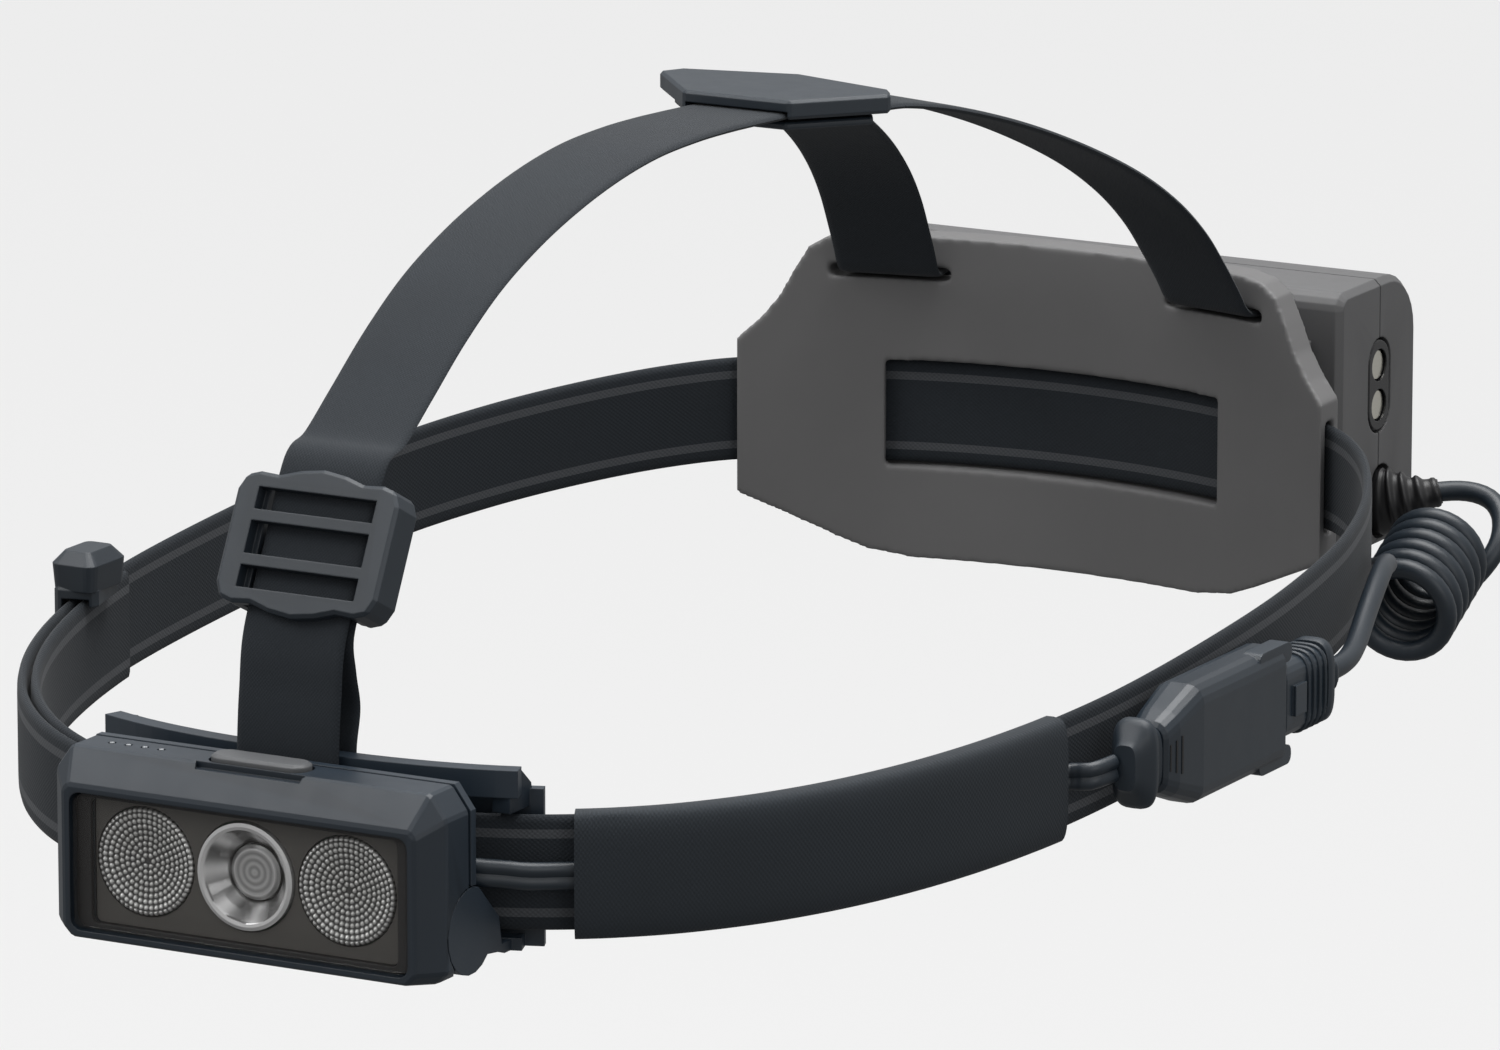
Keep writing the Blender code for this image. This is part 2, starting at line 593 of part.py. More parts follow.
cut(buckle, lean_prism([(-9.2, -12.0), (9.2, -12.0), (9.2, -5.6), (-9.2, -5.6)], -5.0, -2.4),
    "rear_lower_opening")


# ------------------------------------------------------------------- rear pad

def pad_slab(reach, inner, outer, bottom, top, steps=20, sloped=False):
    """A slab curved like the pad, between two sideways limits and two depths from its face."""
    low_x, high_x = reach if isinstance(reach, tuple) else (-reach, reach)
    middle = PAD_RADIUS + PAD_THICK / 2.0
    low = math.asin(low_x / middle)
    high = math.asin(high_x / middle)
    sections = []
    for step in range(steps + 1):
        angle = low + (high - low) * step / steps
        level = RING_SLOPE * (PAD_CENTRE_Y + middle * math.cos(angle)) if sloped else 0.0
        section = []
        for depth, height in ((inner, bottom), (outer, bottom), (outer, top), (inner, top)):
            radius = PAD_RADIUS + depth
            section.append((radius * math.sin(angle), PAD_CENTRE_Y + radius * math.cos(angle),
                            level + height))
        sections.append(section)
    return loft(sections)


pad_right = [(49.5, -5.8), (49.5, 18.6), (46.6, 21.4), (43.8, 25.0), (41.6, 29.4), (39.6, 32.9),
             (36.8, 34.6), (33.0, 35.2)]
pad_low = [(24.0, -15.0), (31.0, -14.0), (36.0, -12.0)]
pad_outline = ([(-u, v) for u, v in pad_low[::-1]] + pad_low + pad_right
               + [(-u, v) for u, v in pad_right[::-1]])
pad = put("rear_pad", pad_slab(52.0, 0.0, PAD_THICK, -20.0, 40.0), GREY, 0.75)
combine(pad, prism(pad_outline, "xz", 80.0, 125.0), "INTERSECT", "outline")
cut(pad, pad_slab(60.0, 1.55, 3.85, -8.4, 8.4, 24, sloped=True), "band_way")
cut(pad, pad_slab(29.0, -6.0, 2.6, -8.2, 8.2, 16, sloped=True), "window")
for side, label in ((-1.0, "left"), (1.0, "right")):
    slot = rounded(side * 27.5, 29.4, 9.3, 1.0, 0.9)
    cut(pad, prism(slot, "xz", 80.0, 125.0), "strap_slot_" + label)

saddle_plan = []
for step in range(13):
    x = -33.0 + 66.0 * step / 12.0
    radius = PAD_RADIUS + PAD_THICK + 0.3
    saddle_plan.append((x, PAD_CENTRE_Y + math.sqrt(radius * radius - x * x)))
saddle_plan += [(34.5, 114.5), (38.0, 119.2), (-38.0, 119.2), (-34.5, 114.5)]
saddle = put("battery_saddle", prism(saddle_plan, "xy", -8.0, 29.0), GREY, 0.7)
bevel(saddle, 0.8)
for side, label in ((-1.0, "left"), (1.0, "right")):
    low_x = min(side * 16.5, side * 45.0)
    high_x = max(side * 16.5, side * 45.0)
    cut(saddle, box((low_x, 100.0, 23.0), (high_x, 125.0, 40.0)), "strap_relief_" + label)


# --------------------------------------------------------------- battery case

def case_outline(inset):
    """Side outline of the case in the yz plane, rounded most at its upper rear."""
    front, rear = CASE_FRONT + inset, CASE_REAR - inset
    low, high = CASE_BOTTOM + inset, CASE_TOP - inset
    outline = []
    for corner_y, corner_z, radius, start in ((rear, high, 9.6, 0), (front, high, 2.6, 90),
                                              (front, low, 2.6, 180), (rear, low, 5.0, 270)):
        radius = max(radius - inset, 0.6)
        across = -1.0 if corner_y == rear else 1.0
        upward = -1.0 if corner_z == high else 1.0
        steps = 7 if radius > 5.0 else 4
        for step in range(steps + 1):
            angle = math.radians(start + 90.0 * step / steps)
            outline.append((corner_y + across * radius + radius * math.cos(angle),
                            corner_z + upward * radius + radius * math.sin(angle)))
    return outline


PORT_Y = 133.0
PORT_Z = 14.0
GLAND_Y = 134.0
GLAND_Z = -4.2
port_hole = rounded(PORT_Y, PORT_Z, 3.9, 7.4, 3.8, 6)
gland_hole = rounded(GLAND_Y, GLAND_Z, 3.6, 5.8, 3.5, 6)
SHELLS = (("battery_front_shell", CASE_FRONT - 1.0, CASE_SPLIT_FRONT),
          ("battery_rear_shell", CASE_SPLIT_REAR, CASE_REAR + 1.0))
for name, low_y, high_y in SHELLS:
    outlines = [case_outline(1.0), case_outline(0.0), case_outline(0.0), case_outline(1.0)]
    widths = (-CASE_HALF_WIDTH, 1.0 - CASE_HALF_WIDTH, CASE_HALF_WIDTH - 1.0, CASE_HALF_WIDTH)
    shell = put(name, tapered(outlines, "yz", widths), GREY, 0.6)
    combine(shell, box((-50.0, low_y, -20.0), (50.0, high_y, 40.0)), "INTERSECT", "half")
    cut(shell, prism(case_outline(CASE_WALL), "yz", -34.0, 34.0), "cell_space")
    cut(shell, prism(port_hole, "yz", 37.7, 44.0), "port_hole")
    cut(shell, prism(gland_hole, "yz", 38.6, 44.0), "cord_hole")

rear_case = bpy.data.objects["battery_rear_shell"]
front_case = bpy.data.objects["battery_front_shell"]
tail_outline = rounded(0.0, 9.5, 11.0, 3.0, 2.6)
cut(rear_case, prism(rounded(0.0, 9.5, 11.3, 3.3, 2.9), "xz", 144.6, 147.0), "lens_seat")
put("tail_light_lens", tapered([tail_outline, tail_outline, rounded(0.0, 9.5, 10.2, 2.2, 2.0)],
                               "xz", (144.9, 145.9, 146.3)), (0.5, 0.02, 0.02), 0.15)
for number, (x, z) in enumerate(((-37.8, 20.5), (37.8, 24.6), (-37.8, -6.4)), 1):
    cut(rear_case, prism(circle(x, z, 1.2, 20), "xz", 130.0, 148.0), "screw_bore_%d" % number)
    cut(rear_case, prism(circle(x, z, 2.3, 24), "xz", 141.0, 148.0), "screw_seat_%d" % number)
    cut(front_case, prism(circle(x, z, 1.2, 20), "xz", 126.0, 134.0), "screw_bore_%d" % number)
    screw = put("battery_screw_%d" % number,
                lathe([(0.9, 126.4), (0.9, 141.3), (2.0, 141.3), (2.0, 142.6)], x, z, 20),
                STEEL, 0.35, 1.0)
    cut(screw, box((x - 1.5, 142.1, z - 0.25), (x + 1.5, 144.0, z + 0.25)), "slot")

for label, z in (("lower", 0.25), ("upper", 19.25)):
    cell = put("cell_" + label, prism(circle(CELL_Y, z, CELL_RADIUS, 24), "yz",
                                      -CELL_LENGTH / 2.0, CELL_LENGTH / 2.0),
               (0.05, 0.16, 0.35), 0.4)
    bevel(cell, 0.5)
put("protection_board", prism(rounded(0.0, 9.6, 30.0, 16.0, 1.0), "xz", 121.8, 123.0),
    BOARD_GREEN, 0.5)

port = put("charge_port", prism(rounded(PORT_Y, PORT_Z, 3.6, 7.1, 3.5, 6), "yz", 38.0, 42.0),
           BLACK, 0.4)
bevel(port, 0.3)
for label, z in (("upper", PORT_Z + 3.1), ("lower", PORT_Z - 3.1)):
    cut(port, prism(circle(PORT_Y, z, 2.5, 24), "yz", 40.6, 43.0), label + "_pocket")
    put("charge_contact_" + label, prism(circle(PORT_Y, z, 2.2, 24), "yz", 40.9, 41.6),
        (0.75, 0.74, 0.68), 0.25, 1.0)


# --------------------------------------------------------- cord and connector

def swept_rounds(centres, radii_up, radii_side, ups, sides, steps=16):
    """Oval sections skinned along a list of centres."""
    sections = []
    for centre, tall, wide, up, side in zip(centres, radii_up, radii_side, ups, sides):
        section = []
        for step in range(steps):
            angle = math.tau * step / steps
            section.append(Vector(centre) + Vector(up).normalized() * tall * math.sin(angle)
                           + Vector(side).normalized() * wide * math.cos(angle))
        sections.append(section)
    return loft(sections)


relief = put("cord_strain_relief", swept_rounds(
    [(38.9, GLAND_Y, GLAND_Z), (42.9, GLAND_Y, GLAND_Z), (42.95, GLAND_Y, GLAND_Z),
     (44.6, 134.4, -3.9), (47.0, 135.4, -3.3), (49.4, 136.8, -2.6)],
    [5.4, 5.4, 4.6, 4.3, 3.3, 2.4], [3.2, 3.2, 3.1, 3.1, 2.8, 2.4],
    [(0, 0, 1), (0, 0, 1), (0, 0, 1), (-0.1, 0, 1), (-0.2, 0, 1), (-0.25, 0, 1)],
    [(0, 1, 0), (0, 1, 0), (0, 1, 0), (-0.25, 1, 0), (-0.45, 1, 0), (-0.6, 1, 0)]), BLACK, 0.7)

socket_plan = [rounded(PLUG_X, PLUG_Z, 2.9, 4.9, 2.2), rounded(PLUG_X, PLUG_Z, 3.5, 6.2, 2.4),
               rounded(PLUG_X, PLUG_Z, 3.9, 8.5, 2.6), rounded(PLUG_X, PLUG_Z, 3.9, 8.5, 2.6)]
socket = put("cord_socket", tapered(socket_plan, "xz", (-31.0, -28.0, -21.5, 4.5)), NAVY, 0.4)
bevel(socket, 0.5)
for label, z in (("upper", PLUG_Z + 7.4), ("lower", PLUG_Z - 7.4)):
    finger = prism(rounded(2.0, z, 5.0, 1.4, 1.2), "yz", PLUG_X + 0.4, PLUG_X + 3.3)
    join(socket, finger, label + "_finger")
cut(socket, prism(rounded(PLUG_X, PLUG_Z, 2.3, 4.7, 1.2), "xz", -12.0, 8.0), "plug_way")

socket_boot = put("socket_boot", tapered(
    [rounded(PLUG_X - 0.6, PLUG_Z, 1.9, 3.6, 1.6), rounded(PLUG_X, PLUG_Z, 3.4, 6.4, 3.0),
     rounded(PLUG_X, PLUG_Z, 3.4, 6.4, 3.0), rounded(PLUG_X, PLUG_Z, 2.6, 4.6, 2.2)],
    "xz", (-38.0, -35.6, -33.4, -31.4)), NAVY, 0.55)
bevel(socket_boot, 0.4)

plug = put("cord_plug", prism(rounded(PLUG_X, PLUG_Z, 3.4, 5.5, 2.2), "xz", 5.0, 18.4),
           NAVY, 0.4)
bevel(plug, 0.4)
join(plug, prism(rounded(PLUG_X, PLUG_Z, 2.0, 4.4, 1.0), "xz", -8.0, 6.0), "tongue")
latch = [(7.2, PLUG_Z - 2.2), (10.6, PLUG_Z - 2.2), (10.6, PLUG_Z + 2.2), (7.2, PLUG_Z + 2.2)]
join(plug, prism(latch, "yz", PLUG_X + 3.0, PLUG_X + 3.9), "latch_button")
for label, z in (("upper", PLUG_Z + 2.1), ("lower", PLUG_Z - 2.1)):
    cut(plug, prism(circle(PLUG_X, z, 1.0, 16), "xz", -10.0, -3.0), label + "_pin_hole")
    put("plug_pin_" + label, prism(circle(PLUG_X, z, 0.65, 16), "xz", -11.7, -3.4),
        (0.8, 0.6, 0.25), 0.25, 1.0)

plug_boot = put("plug_boot", tapered(
    [rounded(PLUG_X, PLUG_Z, 3.5, 6.1, 2.8), rounded(PLUG_X, PLUG_Z, 3.5, 6.1, 2.8),
     rounded(PLUG_X, PLUG_Z, 2.5, 2.8, 2.2), rounded(PLUG_X, PLUG_Z, 2.1, 2.1, 1.9)],
    "xz", (18.8, 20.8, 21.4, 25.0)), NAVY, 0.55)
bevel(plug_boot, 0.3)


def tube(name, route, diameter, colour, spacing=7.0):
    """A round cord: an evenly spaced poly curve with a filled bevel."""
    dense = smooth_curve([Vector(point) for point in route], per_span=12)
    length = sum((there - here).length for here, there in zip(dense, dense[1:]))
    count = max(int(length / spacing), 3)
    points = [dense[0]]
    travelled = 0.0
    wanted = length / count
    for here, there in zip(dense, dense[1:]):
        travelled += (there - here).length
        if travelled >= wanted - 1e-6 and len(points) < count:
            points.append(there)
            wanted += length / count
    points.append(dense[-1])
    curve = bpy.data.curves.new(name, "CURVE")
    curve.dimensions = "3D"
    curve.bevel_depth = diameter / 2.0 * MM
    curve.bevel_resolution = 2
    curve.use_fill_caps = True
    spline = curve.splines.new("POLY")
    spline.points.add(len(points) - 1)
    for place, point in zip(spline.points, points):
        place.co = (point.x * MM, point.y * MM, point.z * MM, 1.0)
    piece = bpy.data.objects.new(name, curve)
    bpy.context.scene.collection.objects.link(piece)
    curve.materials.append(material(name, colour, 0.6))
    return piece


coil_axis = (Vector(COIL_REAR) - Vector(COIL_FRONT)).normalized()
coil_side = coil_axis.cross(Vector((0.0, 0.0, 1.0))).normalized()
coil_up = coil_side.cross(coil_axis).normalized()
radius = COIL_DIAMETER / 2.0
coil_ends = [Vector(COIL_FRONT) - coil_axis * 1.6, Vector(COIL_FRONT) - coil_axis * 1.0,
             Vector(COIL_REAR) + coil_axis * 1.0, Vector(COIL_REAR) + coil_axis * 1.6]
coil_radii = [radius - 0.7, radius, radius, radius - 0.7]
put("cord_coil", swept_rounds(coil_ends, coil_radii, coil_radii, [coil_up] * 4,
                              [coil_side] * 4, 24), NAVY, 0.55)

lead_route = [(PLUG_X, 25.4, PLUG_Z), (86.1, 31.0, -1.9), (84.6, 37.5, -1.1), (82.3, 45.0, 0.9),
              (79.9, 53.5, 3.4), (77.6, 61.7, 4.4), (74.3, 70.2, 2.9), (69.9, 79.3, 0.4),
              (65.1, 87.9, -2.2), (60.7, 94.6, -4.3), (57.3, 99.6, -5.9), (56.2, 101.2, -6.7)]
tube("cord_lead", lead_route, CORD_DIAMETER, NAVY, 5.0)
tail_route = [(50.0, 137.2, -2.5), (53.7, 138.8, -2.2), (58.0, 138.9, -2.9), (61.4, 136.2, -5.0),
              (62.3, 133.6, -7.2)]
tube("cord_tail", tail_route, CORD_DIAMETER, NAVY, 5.0)

# Flat lead between the lamp and the socket, lying on the outside of the band.
lead_path = [Vector((25.9, -116.3, -6.0)), Vector((28.8, -115.4, -6.1)),
             Vector((31.6, -113.2, -6.5)), Vector((34.2, -111.1, -7.0))]
distance = FRONT_RIGHT - 1.5
SOCKET_AT = ring_distance(1, -42.0, 60.0, 160.0)
while distance < SOCKET_AT:
    place = ring_point(distance, 2.25)
    lead_path.append(Vector((place.x, place.y, RING_SLOPE * ring_at(distance).y)))
    distance += 6.0
lead_path += [Vector((83.4, -42.6, -2.5)), Vector((84.9, -38.4, -2.1))]
lead_curve = smooth_curve(lead_path, per_span=1)
lead_sections = []
for index, point in enumerate(lead_curve):
    before = lead_curve[max(index - 1, 0)]
    after = lead_curve[min(index + 1, len(lead_curve) - 1)]
    outward = (after - before).normalized().cross(Vector((0.0, 0.0, 1.0))).normalized()
    section = []
    for across, height in ((-0.85, -1.7), (-0.35, -1.95), (0.5, -1.6), (0.85, -1.0), (0.45, 0.0),
                           (0.85, 1.0), (0.5, 1.6), (-0.35, 1.95), (-0.85, 1.7)):
        section.append(point + outward * across + Vector((0.0, 0.0, height)))
    lead_sections.append(section)
put("flat_lead", loft(lead_sections), NAVY, 0.6)


# ------------------------------------------------------------- moving pieces

def hang(name, place, pieces):
    """Give pieces that move together an empty on their joint's axis, leaving them in place."""
    pivot = bpy.data.objects.new(name, None)
    pivot.location = Vector(place) * MM
    bpy.context.scene.collection.objects.link(pivot)
    for piece_name in pieces:
        piece = bpy.data.objects[piece_name]
        piece.parent = pivot
        piece.matrix_parent_inverse = Matrix.Translation(-pivot.location)
    return pivot


LAMP_PIECES = ["lamp_front_shell", "lamp_rear_shell", "lamp_screw_left", "lamp_screw_right",
               "hinge_pin_left", "hinge_pin_right", "window_lens", "window_seal", "optic_frame",
               "led_left", "led_spot", "led_right", "flood_lens_left", "flood_lens_right",
               "spot_reflector", "spot_lens", "led_board", "heat_sink", "button_board",
               "button_switch", "indicator_light_pipe", "lamp_gland"]
tilt = hang("tilt_axis", (0.0, TILT_Y, TILT_Z), LAMP_PIECES)
press = hang("button_axis", (0.0, BUTTON_Y, LAMP_TOP), ["power_button"])
press.parent = tilt
press.matrix_parent_inverse = Matrix.Translation(-tilt.location)
hang("plug_axis", (PLUG_X, 5.0, PLUG_Z), ["cord_plug", "plug_boot"])
hang("buckle_axis", (0.0, BUCKLE_Y, BUCKLE_Z), ["strap_buckle"])
hang("slider_axis", tuple(ring_point(SLIDER_AT, 0.0)), ["band_slider"])
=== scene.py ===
"""Looks for the headlamp: camera, cords, webbing, pads, optics, plastics and studio light.

Lengths are written in millimetres and multiplied by MM; +Z is up and the lamp faces -Y.
"""
import math

import bmesh
import bpy
from mathutils import Matrix, Vector


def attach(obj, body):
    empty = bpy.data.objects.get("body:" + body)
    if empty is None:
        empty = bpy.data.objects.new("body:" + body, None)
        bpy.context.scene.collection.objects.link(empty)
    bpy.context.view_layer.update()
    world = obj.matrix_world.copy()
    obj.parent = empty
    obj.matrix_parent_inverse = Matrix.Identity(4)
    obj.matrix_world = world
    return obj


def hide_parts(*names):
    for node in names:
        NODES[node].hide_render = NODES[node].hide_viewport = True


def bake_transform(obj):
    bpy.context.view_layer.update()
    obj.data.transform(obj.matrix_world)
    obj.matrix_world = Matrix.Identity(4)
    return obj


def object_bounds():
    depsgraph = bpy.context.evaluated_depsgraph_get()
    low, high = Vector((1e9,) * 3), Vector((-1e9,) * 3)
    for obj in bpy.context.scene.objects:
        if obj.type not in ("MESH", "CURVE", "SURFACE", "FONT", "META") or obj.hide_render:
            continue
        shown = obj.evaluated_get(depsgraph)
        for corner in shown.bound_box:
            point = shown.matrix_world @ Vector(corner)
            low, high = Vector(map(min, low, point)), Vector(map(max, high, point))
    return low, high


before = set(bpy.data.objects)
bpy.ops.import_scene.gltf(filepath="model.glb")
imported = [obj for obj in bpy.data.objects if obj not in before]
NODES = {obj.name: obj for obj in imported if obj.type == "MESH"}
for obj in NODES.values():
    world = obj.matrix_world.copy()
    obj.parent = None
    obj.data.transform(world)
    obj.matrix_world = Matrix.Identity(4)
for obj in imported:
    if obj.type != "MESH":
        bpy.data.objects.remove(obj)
CAD_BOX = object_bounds()
MM = 0.001

# Headband loop, as the CAD part lays it out.
RING_HALF_WIDTH = 80.7
RING_HALF_LENGTH = 112.3
RING_POWER = 2.48
RING_SLOPE = 0.069
BAND_WIDTH = 16.0
BAND_THICK = 1.4
STRIPE_MIDDLE = 5.45
STRIPE_HALF_WIDTH = 0.62
LAYER_SHIFT = 0.95
FRONT_LAP_END = 35.0
REAR_LAP_START = 190.0
REAR_LAP_FULL = 110.0
PAD_MIDDLE_RADIUS = 110.7
PAD_CENTRE_Y = 1.5

# Sleeve sections: depth towards the head, depth outwards, half height.
SLEEVE_OUTSIDE = (-1.6, 3.8, 8.8)
SLEEVE_INSIDE = (-1.05, 3.25, 8.3)

STRAP_WIDTH = 16.0
STRAP_THICK = 1.0
REAR_SPREAD = 0.22
BUCKLE_Y = -108.6
BUCKLE_Z = 33.6
BUCKLE_LEAN = math.radians(63.0)
STRAP_LAYER_GAP = 1.9

OPTIC_PITCH = 15.75
OPTIC_Z = -7.6

CORD_DIAMETER = 3.1
COIL_FRONT = Vector((58.2, 108.0, -14.6))
COIL_REAR = Vector((55.2, 127.5, -9.0))
COIL_RADIUS = 6.8
COIL_START = math.radians(185.0)
COIL_STOP = math.radians(2480.0)
COIL_STEPS = 150
PLUG_X = 86.2
PLUG_Z = -2.0

NAVY = (0.0090, 0.0152, 0.0225)
DEEP_NAVY = (0.0058, 0.0112, 0.0180)
PALE_NAVY = (0.0105, 0.0160, 0.0225)
WEB_NAVY = (0.0078, 0.0128, 0.0190)
STRIPE = (0.062, 0.067, 0.075)
GREY = (0.118, 0.117, 0.118)
CASE_GREY = (0.082, 0.082, 0.084)
BLACK = (0.008, 0.008, 0.009)


# ---------------------------------------------------------------- camera first

VIEW_AZIMUTH = math.radians(28.92)
VIEW_ELEVATION = math.radians(13.137)
VIEW_DISTANCE = 1600.0
VIEW_SHIFT_RIGHT = 5.88
VIEW_SHIFT_UP = 14.294
FOCAL_LENGTH = 268.1
SENSOR_WIDTH = 36.0
back = Vector((math.sin(VIEW_AZIMUTH) * math.cos(VIEW_ELEVATION),
               -math.cos(VIEW_AZIMUTH) * math.cos(VIEW_ELEVATION), math.sin(VIEW_ELEVATION)))
right = Vector((math.cos(VIEW_AZIMUTH), math.sin(VIEW_AZIMUTH), 0.0))
above = back.cross(right)
lens = bpy.data.cameras.new("camera")
lens.sensor_width = SENSOR_WIDTH
lens.lens = FOCAL_LENGTH
lens.clip_start = 0.05
lens.clip_end = 50.0
camera = bpy.data.objects.new("camera", lens)
turn = Matrix((right, above, back)).transposed().to_4x4()
place = (back * VIEW_DISTANCE + right * VIEW_SHIFT_RIGHT + above * VIEW_SHIFT_UP) * MM
camera.matrix_world = Matrix.Translation(place) @ turn
bpy.context.scene.collection.objects.link(camera)
bpy.context.scene.camera = camera


# --------------------------------------------------------------- mesh helpers

def smooth_curve(points, per_span=6, closed=False):
    """Catmull-Rom curve through the points."""
    count = len(points)
    curve = []
    spans = count if closed else count - 1
    for index in range(spans):
        if closed:
            p0, p1, p2, p3 = (Vector(points[(index + k) % count]) for k in (-1, 0, 1, 2))
        else:
            p0, p1, p2, p3 = (Vector(points[min(max(index + k, 0), count - 1)])
                              for k in (-1, 0, 1, 2))
        for step in range(per_span):
            t = step / per_span
            curve.append(0.5 * (2.0 * p1 + (p2 - p0) * t + (2.0 * p0 - 5.0 * p1 + 4.0 * p2 - p3)
                                * t * t + (3.0 * p1 - p0 - 3.0 * p2 + p3) * t ** 3))
    if not closed:
        curve.append(Vector(points[-1]))
    return curve


def evenly(points, spacing):
    """The same line with points an even distance apart."""
    lengths = [0.0]
    for here, there in zip(points, points[1:]):
        lengths.append(lengths[-1] + (there - here).length)
    count = max(int(round(lengths[-1] / spacing)), 2)
    line = []
    at = 0
    for index in range(count + 1):
        wanted = lengths[-1] * index / count
        while at < len(points) - 2 and lengths[at + 1] < wanted:
            at += 1
        share = (wanted - lengths[at]) / max(lengths[at + 1] - lengths[at], 1e-9)
        line.append(points[at].lerp(points[at + 1], min(max(share, 0.0), 1.0)))
    return line


def skin(name, sections, across, along=None, closed=False):
    """Join equal point loops into a mesh with UVs in millimetres: across, then along."""
    mesh = bpy.data.meshes.new(name)
    size = len(sections[0])
    points = [tuple(point * MM) for section in sections for point in section]
    faces = []
    rows = len(sections)
    for row in range(rows if closed else rows - 1):
        after_row = (row + 1) % rows
        for index in range(size):
            after = (index + 1) % size
            faces.append((row * size + index, row * size + after,
                          after_row * size + after, after_row * size + index))
    if not closed:
        faces.append(tuple(range(size))[::-1])
        faces.append(tuple((rows - 1) * size + index for index in range(size)))
    mesh.from_pydata(points, [], faces)
    if along is None:
        along = [0.0]
        for here, there in zip(sections, sections[1:]):
            along.append(along[-1] + (there[0] - here[0]).length)
    layer = mesh.uv_layers.new(name="surface")
    for loop in mesh.loops:
        row, index = divmod(loop.vertex_index, size)
        layer.data[loop.index].uv = (across[index], along[row])
    mesh.update()
    mesh.shade_smooth()
    mesh.set_sharp_from_angle(angle=math.radians(50.0))
    piece = bpy.data.objects.new(name, mesh)
    bpy.context.scene.collection.objects.link(piece)
    return piece


def outward_normals(piece):
    """Point every face of a closed piece outwards."""
    shape = bmesh.new()
    shape.from_mesh(piece.data)
    bmesh.ops.recalc_face_normals(shape, faces=shape.faces)
    shape.to_mesh(piece.data)
    shape.free()
    return piece


def sweep(name, line, radius, sides=16):
    """A round tube along a line, turned as little as possible."""
    side = Vector((0.0, 0.0, 1.0))
    sections = []
    for index, point in enumerate(line):
        before = line[max(index - 1, 0)]
        after = line[min(index + 1, len(line) - 1)]
        along = (after - before).normalized()
        side = (side - along * side.dot(along)).normalized()
        other = along.cross(side)
        sections.append([point + (side * math.cos(math.tau * step / sides)
                                  + other * math.sin(math.tau * step / sides)) * radius
                         for step in range(sides)])
    across = [radius * math.tau * step / sides for step in range(sides)]
    return outward_normals(skin(name, sections, across))


# -------------------------------------------------------------- node materials

class Look:
    """A Principled material and the few nodes that every finish here is made of."""

    def __init__(self, name, colour, roughness, metallic=0.0):
        self.material = bpy.data.materials.new(name)
        self.material.use_nodes = True
        self.tree = self.material.node_tree
        self.shader = self.tree.nodes["Principled BSDF"]
        self.put(self.shader, "Base Color", (*colour, 1.0))
        self.put(self.shader, "Roughness", roughness)
        self.put(self.shader, "Metallic", metallic)
        self.object_space = self.node("ShaderNodeTexCoord").outputs["Object"]

    def node(self, kind, **settings):
        made = self.tree.nodes.new(kind)
        for key, value in settings.items():
            setattr(made, key, value)
        return made

    def put(self, node, socket, value):
        """A number sets the socket; another node's output is linked to it."""
        if isinstance(value, bpy.types.NodeSocket):
            self.tree.links.new(value, node.inputs[socket])
        else:
            node.inputs[socket].default_value = value

    def maths(self, operation, first, second=0.0, third=0.0):
        """A maths node on numbers or on other nodes' outputs."""
        made = self.node("ShaderNodeMath", operation=operation)
        for socket, value in enumerate((first, second, third)):
            self.put(made, socket, value)
        return made.outputs[0]

    def noise(self, scale, detail=3.0, roughness=0.55):
        made = self.node("ShaderNodeTexNoise")
        self.put(made, "Vector", self.object_space)
        self.put(made, "Scale", scale)
        self.put(made, "Detail", detail)
        self.put(made, "Roughness", roughness)
        return made.outputs["Fac"]

    def between(self, value, low, high):
        """A 0 to 1 value turned into a range of numbers."""
        made = self.node("ShaderNodeMapRange")
        self.put(made, "Value", value)
        self.put(made, "To Min", low)
        self.put(made, "To Max", high)
        return made.outputs["Result"]

    def mix(self, share, first, second):
        """A colour between two others."""
        made = self.node("ShaderNodeMix", data_type="RGBA")
        self.put(made, 0, share)
        for socket, value in ((6, first), (7, second)):
            self.put(made, socket, value if isinstance(value, bpy.types.NodeSocket)
                     else (*value, 1.0))
        return made.outputs[2]

    def bump(self, height, distance, strength=1.0, soften=0.0):
        """Relief of a depth in millimetres, over edges softened by the given radius."""
        made = self.node("ShaderNodeBump")
        self.put(made, "Height", height)
        self.put(made, "Distance", distance * MM)
        self.put(made, "Strength", strength)
        if soften:
            edge = self.node("ShaderNodeBevel", samples=6)
            self.put(edge, "Radius", soften * MM)
            self.put(made, "Normal", edge.outputs["Normal"])
        self.put(self.shader, "Normal", made.outputs["Normal"])

    def across(self):
        """The mesh's own across and along coordinates, in millimetres."""
        uv = self.node("ShaderNodeUVMap")
        uv.uv_map = "surface"
        split = self.node("ShaderNodeSeparateXYZ")
        self.put(split, "Vector", uv.outputs["UV"])
        return split.outputs["X"], split.outputs["Y"]


